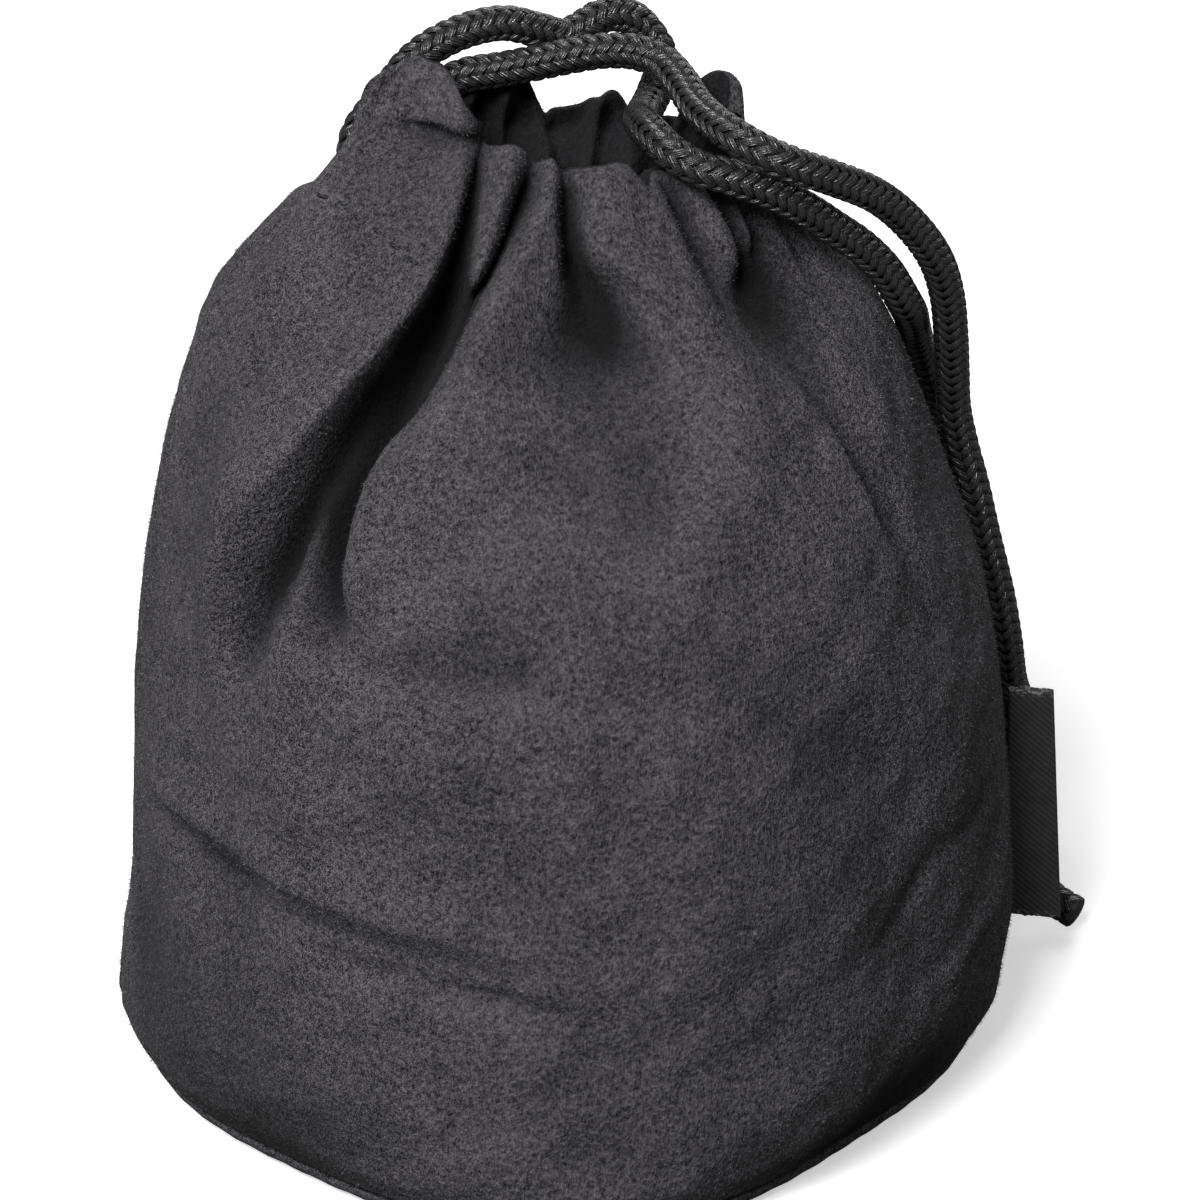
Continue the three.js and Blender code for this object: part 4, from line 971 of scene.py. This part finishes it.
ribbon_fray = math_node(ribbon_tree, "MULTIPLY", ribbon_edge.outputs[0], cut_threads.outputs[0])
ribbon_mix = mix_colour(ribbon_tree, ribbon_fray, ribbon_mix, fray_colour)
finish(ribbon_tree, ribbon_shader, ribbon_mix, ribbon_value, strength=0.6, distance=0.00015, roughness=0.65)
label.data.materials.append(ribbon)
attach(label, "label")
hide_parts("side_label")

# Hem stitches: one row of black thread through each half of the gathered hem, under the cord's
# tunnel. At the ear the row climbs with the tunnel.
hem_stitch_height = 92.4
hem_stitch_length, hem_stitch_space = 1.5, 1.1
hem_stitch_climb, hem_stitch_fall = 1.25, 0.01
hem_stitch_sink, hem_stitch_rise = 0.02, 0.12
for hem_name, hem_node, hem_body, hem_from, hem_to, hem_press in (
        ("front_hem_stitches", "front_casing_stitch", "front_lip", 192, 238, front_press),
        ("back_hem_stitches", "back_casing_stitch", "back_lip", 8, 131, back_press)):
    hem_angle = np.linspace(hem_from, hem_to, 400)
    hem_climb = hem_stitch_climb - hem_stitch_fall * (hem_angle - ear_angle)
    hem_level = hem_stitch_height + climb_at(hem_angle) * hem_climb
    hem_depth = hem_press(hem_angle, hem_level)
    hem_line = wall_point(hem_angle, hem_level, np.full_like(hem_angle, hem_stitch_sink), hem_depth)
    hem_outer = wall_point(hem_angle, hem_level, np.full_like(hem_angle, -1), hem_depth)
    if hem_body == "front_lip":
        hem_line, hem_outer = (lean_ear(k, hem_angle, hem_level) for k in (hem_line, hem_outer))
    hem = stitches(hem_name, hem_line, hem_outer - hem_line, hem_stitch_length, hem_stitch_space,
                   hem_stitch_rise)
    hem.data.materials.append(thread)
    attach(hem, hem_body)
    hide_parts(hem_node)

# Drawcord in the hem: the two halves of one round cord, braided of sixteen strands over a core,
# that run hidden in the tunnels of the front and back hems.
cord_diameter = 3.7
strands = 8
strand_half_width, strand_half_height = 0.50, 0.20
weave_depth, weave_flat = 0.22, 1.8
braid_turn = 0.58
braid_step = 0.27
core_radius = 1.25
yarn_lay = (2.2, 62.8)
braid_grain_scale = 3000
braid_colours = ((0.003, 0.003, 0.0035, 1), (0.055, 0.055, 0.058, 1))


def carried_frame(line):
    """Two unit vectors square to each point of a line, carried along it without twisting."""
    tangent = unit(np.gradient(line, axis=0))
    first = np.cross(tangent[0], [0.3, 0.2, 1])
    normals = [first / np.linalg.norm(first)]
    for direction in tangent[1:]:
        carried = normals[-1] - direction * normals[-1].dot(direction)
        normals.append(carried / np.linalg.norm(carried))
    normals = np.array(normals)
    return normals, np.cross(tangent, normals)


def braid(name, route):
    """Braided cord along a route: eight strands turn one way round the line and eight the other. A
    strand's distance from the line swings out and in as a flattened cosine of four times its angle,
    out for one set where the other goes in, so each strand passes over two and under two."""
    line, along = resample(smooth_line(route, spans=12), braid_step)
    first, second = carried_frame(line)
    middle = cord_diameter / 2 - strand_half_height - weave_depth
    way = np.repeat([1, -1], strands)[:, None]
    turn = np.tile(np.arange(strands), 2)[:, None] * 2 * math.pi / strands + way * braid_turn * along
    swing = np.tanh(weave_flat * np.cos(strands / 2 * turn)) / math.tanh(weave_flat)
    radius = middle + way * weave_depth * swing
    out = np.cos(turn)[..., None] * first + np.sin(turn)[..., None] * second
    points, quads, places, ends = sweep(line + radius[..., None] * out, out, strand_half_width,
                                        strand_half_height, sides=6)
    core, core_quads, core_places, core_ends = sweep(line[None, ::2], first[None, ::2], core_radius,
                                                     core_radius, sides=8)
    piece = add_piece(name, np.concatenate([points, core]),
                      np.concatenate([quads, core_quads + len(points)]),
                      np.concatenate([ends, core_ends + len(points)]),
                      np.concatenate([places, core_places]))
    piece.data.materials.append(braid_material)
    return piece, line * MM, along[-1] * MM


braid_material, braid_tree, braid_shader = new_material("braid")
braid_place = add_node(braid_tree, "ShaderNodeUVMap").outputs[0]
braid_axis = add_node(braid_tree, "ShaderNodeSeparateXYZ", {0: braid_place}).outputs
braid_object = add_node(braid_tree, "ShaderNodeTexCoord").outputs["Object"]
braid_yarns = weigh(braid_tree, [(braid_axis[0], yarn_lay[0]), (braid_axis[1], yarn_lay[1])])
braid_lines = math_node(braid_tree, "SINE", braid_yarns)
braid_grain = noise_node(braid_tree, braid_object, braid_grain_scale, detail=2)
braid_value = weigh(braid_tree, [(braid_lines, 0.3), (braid_grain, 1.2)], -0.2)
braid_mix = mix_colour(braid_tree, braid_value, *braid_colours)
finish(braid_tree, braid_shader, braid_mix, braid_value, strength=0.8, distance=0.00014, roughness=0.33)
braid_shader.inputs["Specular IOR Level"].default_value = 0.9

run_clearance = 0.4
run_clear = cord_diameter / 2 + run_clearance
front_run_angle = np.linspace(208, 333, 300)
back_run_angle = np.linspace(28, 116, 240)
for run_name, run_node, run_body, run_angle, run_press in (
        ("front_hem_cord", "drawcord_front_run", "front_lip", front_run_angle, front_press),
        ("back_hem_cord", "drawcord_back_run", "back_lip", back_run_angle, back_press)):
    run_level = run_height + climb_at(run_angle)
    run_arc = np.cumsum(arc_scale(run_angle, run_level)) * (run_angle[1] - run_angle[0])
    run_near = np.abs(run_arc[:, None] - run_arc) / run_clear
    run_ball = run_clear * np.sqrt(np.maximum(1 - run_near ** 2, 0))
    run_ball = np.where(run_near > 1, -np.inf, run_ball)
    run_depth = np.max(run_press(run_angle, run_level) + run_ball, 1)
    run_line = wall_point(run_angle, run_level, lip_thickness / 2 + 0 * run_angle, run_depth)
    if run_body == "front_lip":
        run_line = lean_ear(run_line, run_angle, run_level)
    run, *_ = braid(run_name, run_line[::6])
    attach(run, run_body)
    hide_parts(run_node)

# Drawcord tails: the two ends of the cord come out of the hem at the left, cross over the mouth,
# lie down over the right side of the neck and hang along the right seam to the knot.
tail_a_route = [
    [-16.8, 3, 85], [-17.6, 3, 88.5], [-18.2, 3, 92], [-18.4, 3, 97], [-18.2, 3.2, 100.5],
    [-17.4, 4, 103.5], [-15.3, 5, 106.7], [-13.7, 5.6, 108.3], [-11.4, 6.4, 109.6], [-8, 7.6, 110.5],
    [-4.1, 9, 110.4], [-0.5, 10.2, 108.9], [2.3, 11.2, 107.6], [4.6, 12.2, 108.2], [6.8, 13.4, 108.7],
    [9.4, 14.2, 107.9], [11.2, 14.2, 106], [12.4, 12.6, 103.6], [11, 8.8, 101.9], [9.3, 4.6, 101.7],
    [8.4, 0.6, 102.8], [8.2, -3.2, 103.9], [8.6, -7, 104.5], [10, -10, 103.9], [12.4, -11.6, 102.9],
    [14.2, -11.9, 102.4], [17.2, -11.6, 101], [20.2, -10.7, 99.2], [23.2, -9.4, 96.8], [26.3, -7.6, 93.8],
    [29.5, -6, 90.7], [32.3, -4.4, 87.1], [34.8, -2, 82.3], [36.3, 1.8, 78.8], [37.4, 5.6, 75.2],
    [38.6, 8.6, 71.4], [40.3, 10.8, 66.6], [42.6, 12, 60], [44.2, 13, 52], [45.6, 14, 44],
    [46.9, 15, 36], [48.4, 16, 27.5], [49.4, 16.7, 22.5], [49.4, 16.7, 18.6]]
tail_b_route = [
    [-18.2, 6.8, 85], [-18.8, 7, 88.5], [-19.3, 7.2, 92], [-19.5, 7.2, 97], [-19, 7.4, 100],
    [-17, 8.2, 102.3], [-13.9, 8.4, 103.4], [-11, 8, 104.3], [-8.3, 7.4, 105.7], [-4.5, 6.8, 106.4],
    [-0.9, 6.2, 107.2], [2.4, 6, 107.8], [5.5, 6, 108.1], [8.7, 5.6, 107.9], [11.1, 4, 107.3],
    [12.4, 0.4, 106.7], [13.3, -4, 106], [14.5, -8, 105.9], [16.4, -11.4, 105.6], [18.8, -13.2, 104.7],
    [21.9, -13, 103.1], [25.6, -11.2, 100.8], [30.4, -8.4, 97.3], [34.6, -5.2, 92.4], [37.7, -2.8, 87.3],
    [39.5, -0.4, 81.9], [40.5, 1.8, 75.9], [41.2, 4, 70.6], [41.8, 5.6, 65.8], [42.9, 6.4, 61],
    [44.1, 6.4, 56.5], [45.5, 6.6, 50.4], [47.3, 7, 43], [48.4, 7.6, 37.2], [49.5, 9.4, 31.1],
    [51.2, 12.2, 26], [51.8, 13.3, 22.5], [51.8, 13.3, 18.6]]
tail_a, tail_a_path, tail_a_length = braid("tail_a_cord", tail_a_route)
tail_b, tail_b_path, tail_b_length = braid("tail_b_cord", tail_b_route)
for tail, tail_node in ((tail_a, "drawcord_tail_a"), (tail_b, "drawcord_tail_b")):
    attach(tail, "drawcord")
    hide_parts(tail_node)

# End knot: the two tails are tied together low on the right side. The cord winds about them in two
# close turns, like a barrel.
knot_centre = np.array([50.6, 15, 14])
knot_turns = 2.3
knot_wind = 3.45
knot_draw = 2.3
knot_height = 6.8
knot_share = np.linspace(0, 1, 48)
knot_turn = 2 * math.pi * knot_turns * knot_share
knot_radius = knot_wind - knot_draw * (1 - ease(knot_share, 0, 0.14)) - knot_draw * ease(knot_share, 0.86, 1)
knot_level = knot_height / 2 - knot_height * ease(knot_share, 0.02, 0.98)
knot_route = knot_centre + np.stack([knot_radius * np.cos(knot_turn), knot_radius * np.sin(knot_turn),
                                     knot_level], 1)
knot, *_ = braid("end_knot_cord", knot_route)
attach(knot, "drawcord")
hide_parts("end_knot")

# Cut ends: the last bit of each tail below the knot, splayed out to the floor. The tip is sealed by
# heat, which melts the strands into one dull cap.
end_a_route = [[51.2, 13.8, 9.4], [52, 13.2, 7.2], [53, 11.6, 5.2], [55, 9.6, 3.6], [57, 8, 2.7]]
end_b_route = [[49.9, 16.4, 9.4], [49.6, 16.8, 7.2], [50, 18, 5], [50.6, 20, 3.2], [51.8, 22, 2.6]]
tip_radius, tip_length = 1.75, 1.1
tip_up = np.array([[[0.2, 0.3, 1.0]]])
tip_grain_scale = 1600
tip_colours = ((0.006, 0.006, 0.006, 1), (0.05, 0.05, 0.052, 1))
tip, tip_tree, tip_shader = new_material("sealed_tip")
tip_place = add_node(tip_tree, "ShaderNodeTexCoord").outputs["Object"]
tip_grain = noise_node(tip_tree, tip_place, tip_grain_scale, detail=3)
tip_mix = mix_colour(tip_tree, tip_grain, *tip_colours)
finish(tip_tree, tip_shader, tip_mix, tip_grain, strength=0.8, distance=0.0003, roughness=0.5)
cut_ends, cut_tips = [], []
for end_name, end_node, end_route in (("cut_end_a_cord", "cord_end_a", end_a_route),
                                      ("cut_end_b_cord", "cord_end_b", end_b_route)):
    cut, cut_path, _ = braid(end_name, end_route)
    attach(cut, "drawcord")
    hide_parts(end_node)
    heading = unit(cut_path[-1] - cut_path[-3])
    tip_share = np.linspace(-1, 1, 15)
    tip_line = (cut_path[-1] / MM + heading * tip_share[:, None] * tip_length / 2)[None]
    tip_wide = tip_radius * np.maximum(1 - np.abs(tip_share) ** 4, 0.02) ** 0.5
    tip_points, tip_quads, _, tip_ends = sweep(tip_line, tip_up, tip_wide, tip_wide, sides=24)
    cap = add_piece(end_name.replace("cord", "tip"), tip_points, tip_quads, tip_ends)
    cap.data.materials.append(tip)
    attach(cap, "drawcord")
    cut_ends.append(cut)
    cut_tips.append(cap)

# Floor and light: a wide white floor that keeps the pouch's shadow, an even dim room, one broad soft
# lamp from the upper left front, a weak fill from the right and one that lights the back.
floor_size = 6.0
floor_colour = (0.95, 0.95, 0.95, 1)
floor_bounce = (0.15, 0.15, 0.15, 1)
floor_glow = 0.5
room_strength = 0.13
key_place, key_size, key_power = Vector((-0.64, -1.00, 1.36)), 0.7, 38
fill_place, fill_size, fill_power = Vector((0.9, -1.0, 0.9)), 1.2, 0.8
back_place, back_size, back_power = Vector((0.45, 1.30, 0.70)), 1.0, 7
floor_half = floor_size / 2
floor_mesh = bpy.data.meshes.new("floor")
floor_corners = [(-floor_half, -floor_half, 0), (floor_half, -floor_half, 0),
                 (floor_half, floor_half, 0), (-floor_half, floor_half, 0)]
floor_mesh.from_pydata(floor_corners, [], [(0, 1, 2, 3)])
floor = bpy.data.objects.new("floor", floor_mesh)
bpy.context.scene.collection.objects.link(floor)
floor_material, floor_tree, floor_shader = new_material("floor")
floor_seen = add_node(floor_tree, "ShaderNodeLightPath").outputs["Is Camera Ray"]
floor_tree.links.new(mix_colour(floor_tree, floor_seen, floor_bounce, floor_colour),
                     floor_shader.inputs["Base Color"])
floor_shader.inputs["Emission Color"].default_value = (1, 1, 1, 1)
floor_light = weigh(floor_tree, [(floor_seen, floor_glow)])
floor_tree.links.new(floor_light, floor_shader.inputs["Emission Strength"])
floor_shader.inputs["Roughness"].default_value = 1.0
floor_shader.inputs["Specular IOR Level"].default_value = 0.0
floor.data.materials.append(floor_material)
for lamp_name, lamp_place, lamp_size, lamp_power in (("key", key_place, key_size, key_power),
                                                     ("fill", fill_place, fill_size, fill_power),
                                                     ("back", back_place, back_size, back_power)):
    lamp_data = bpy.data.lights.new(lamp_name, "AREA")
    lamp_data.size = lamp_size
    lamp_data.energy = lamp_power
    lamp = bpy.data.objects.new(lamp_name, lamp_data)
    lamp.location = lamp_place
    lamp.rotation_euler = (camera_target - lamp_place).to_track_quat("-Z", "Y").to_euler()
    bpy.context.scene.collection.objects.link(lamp)
room = bpy.data.worlds.new("room")
room.use_nodes = True
bpy.context.scene.world = room
room_tree = room.node_tree
room_path = add_node(room_tree, "ShaderNodeLightPath").outputs
room_seen = math_node(room_tree, "MAXIMUM", room_path["Is Camera Ray"], room_path["Is Transmission Ray"])
room_level = weigh(room_tree, [(room_seen, 1 - room_strength)], room_strength)
room_tree.nodes["Background"].inputs["Color"].default_value = (1, 1, 1, 1)
room_tree.links.new(room_level, room_tree.nodes["Background"].inputs["Strength"])
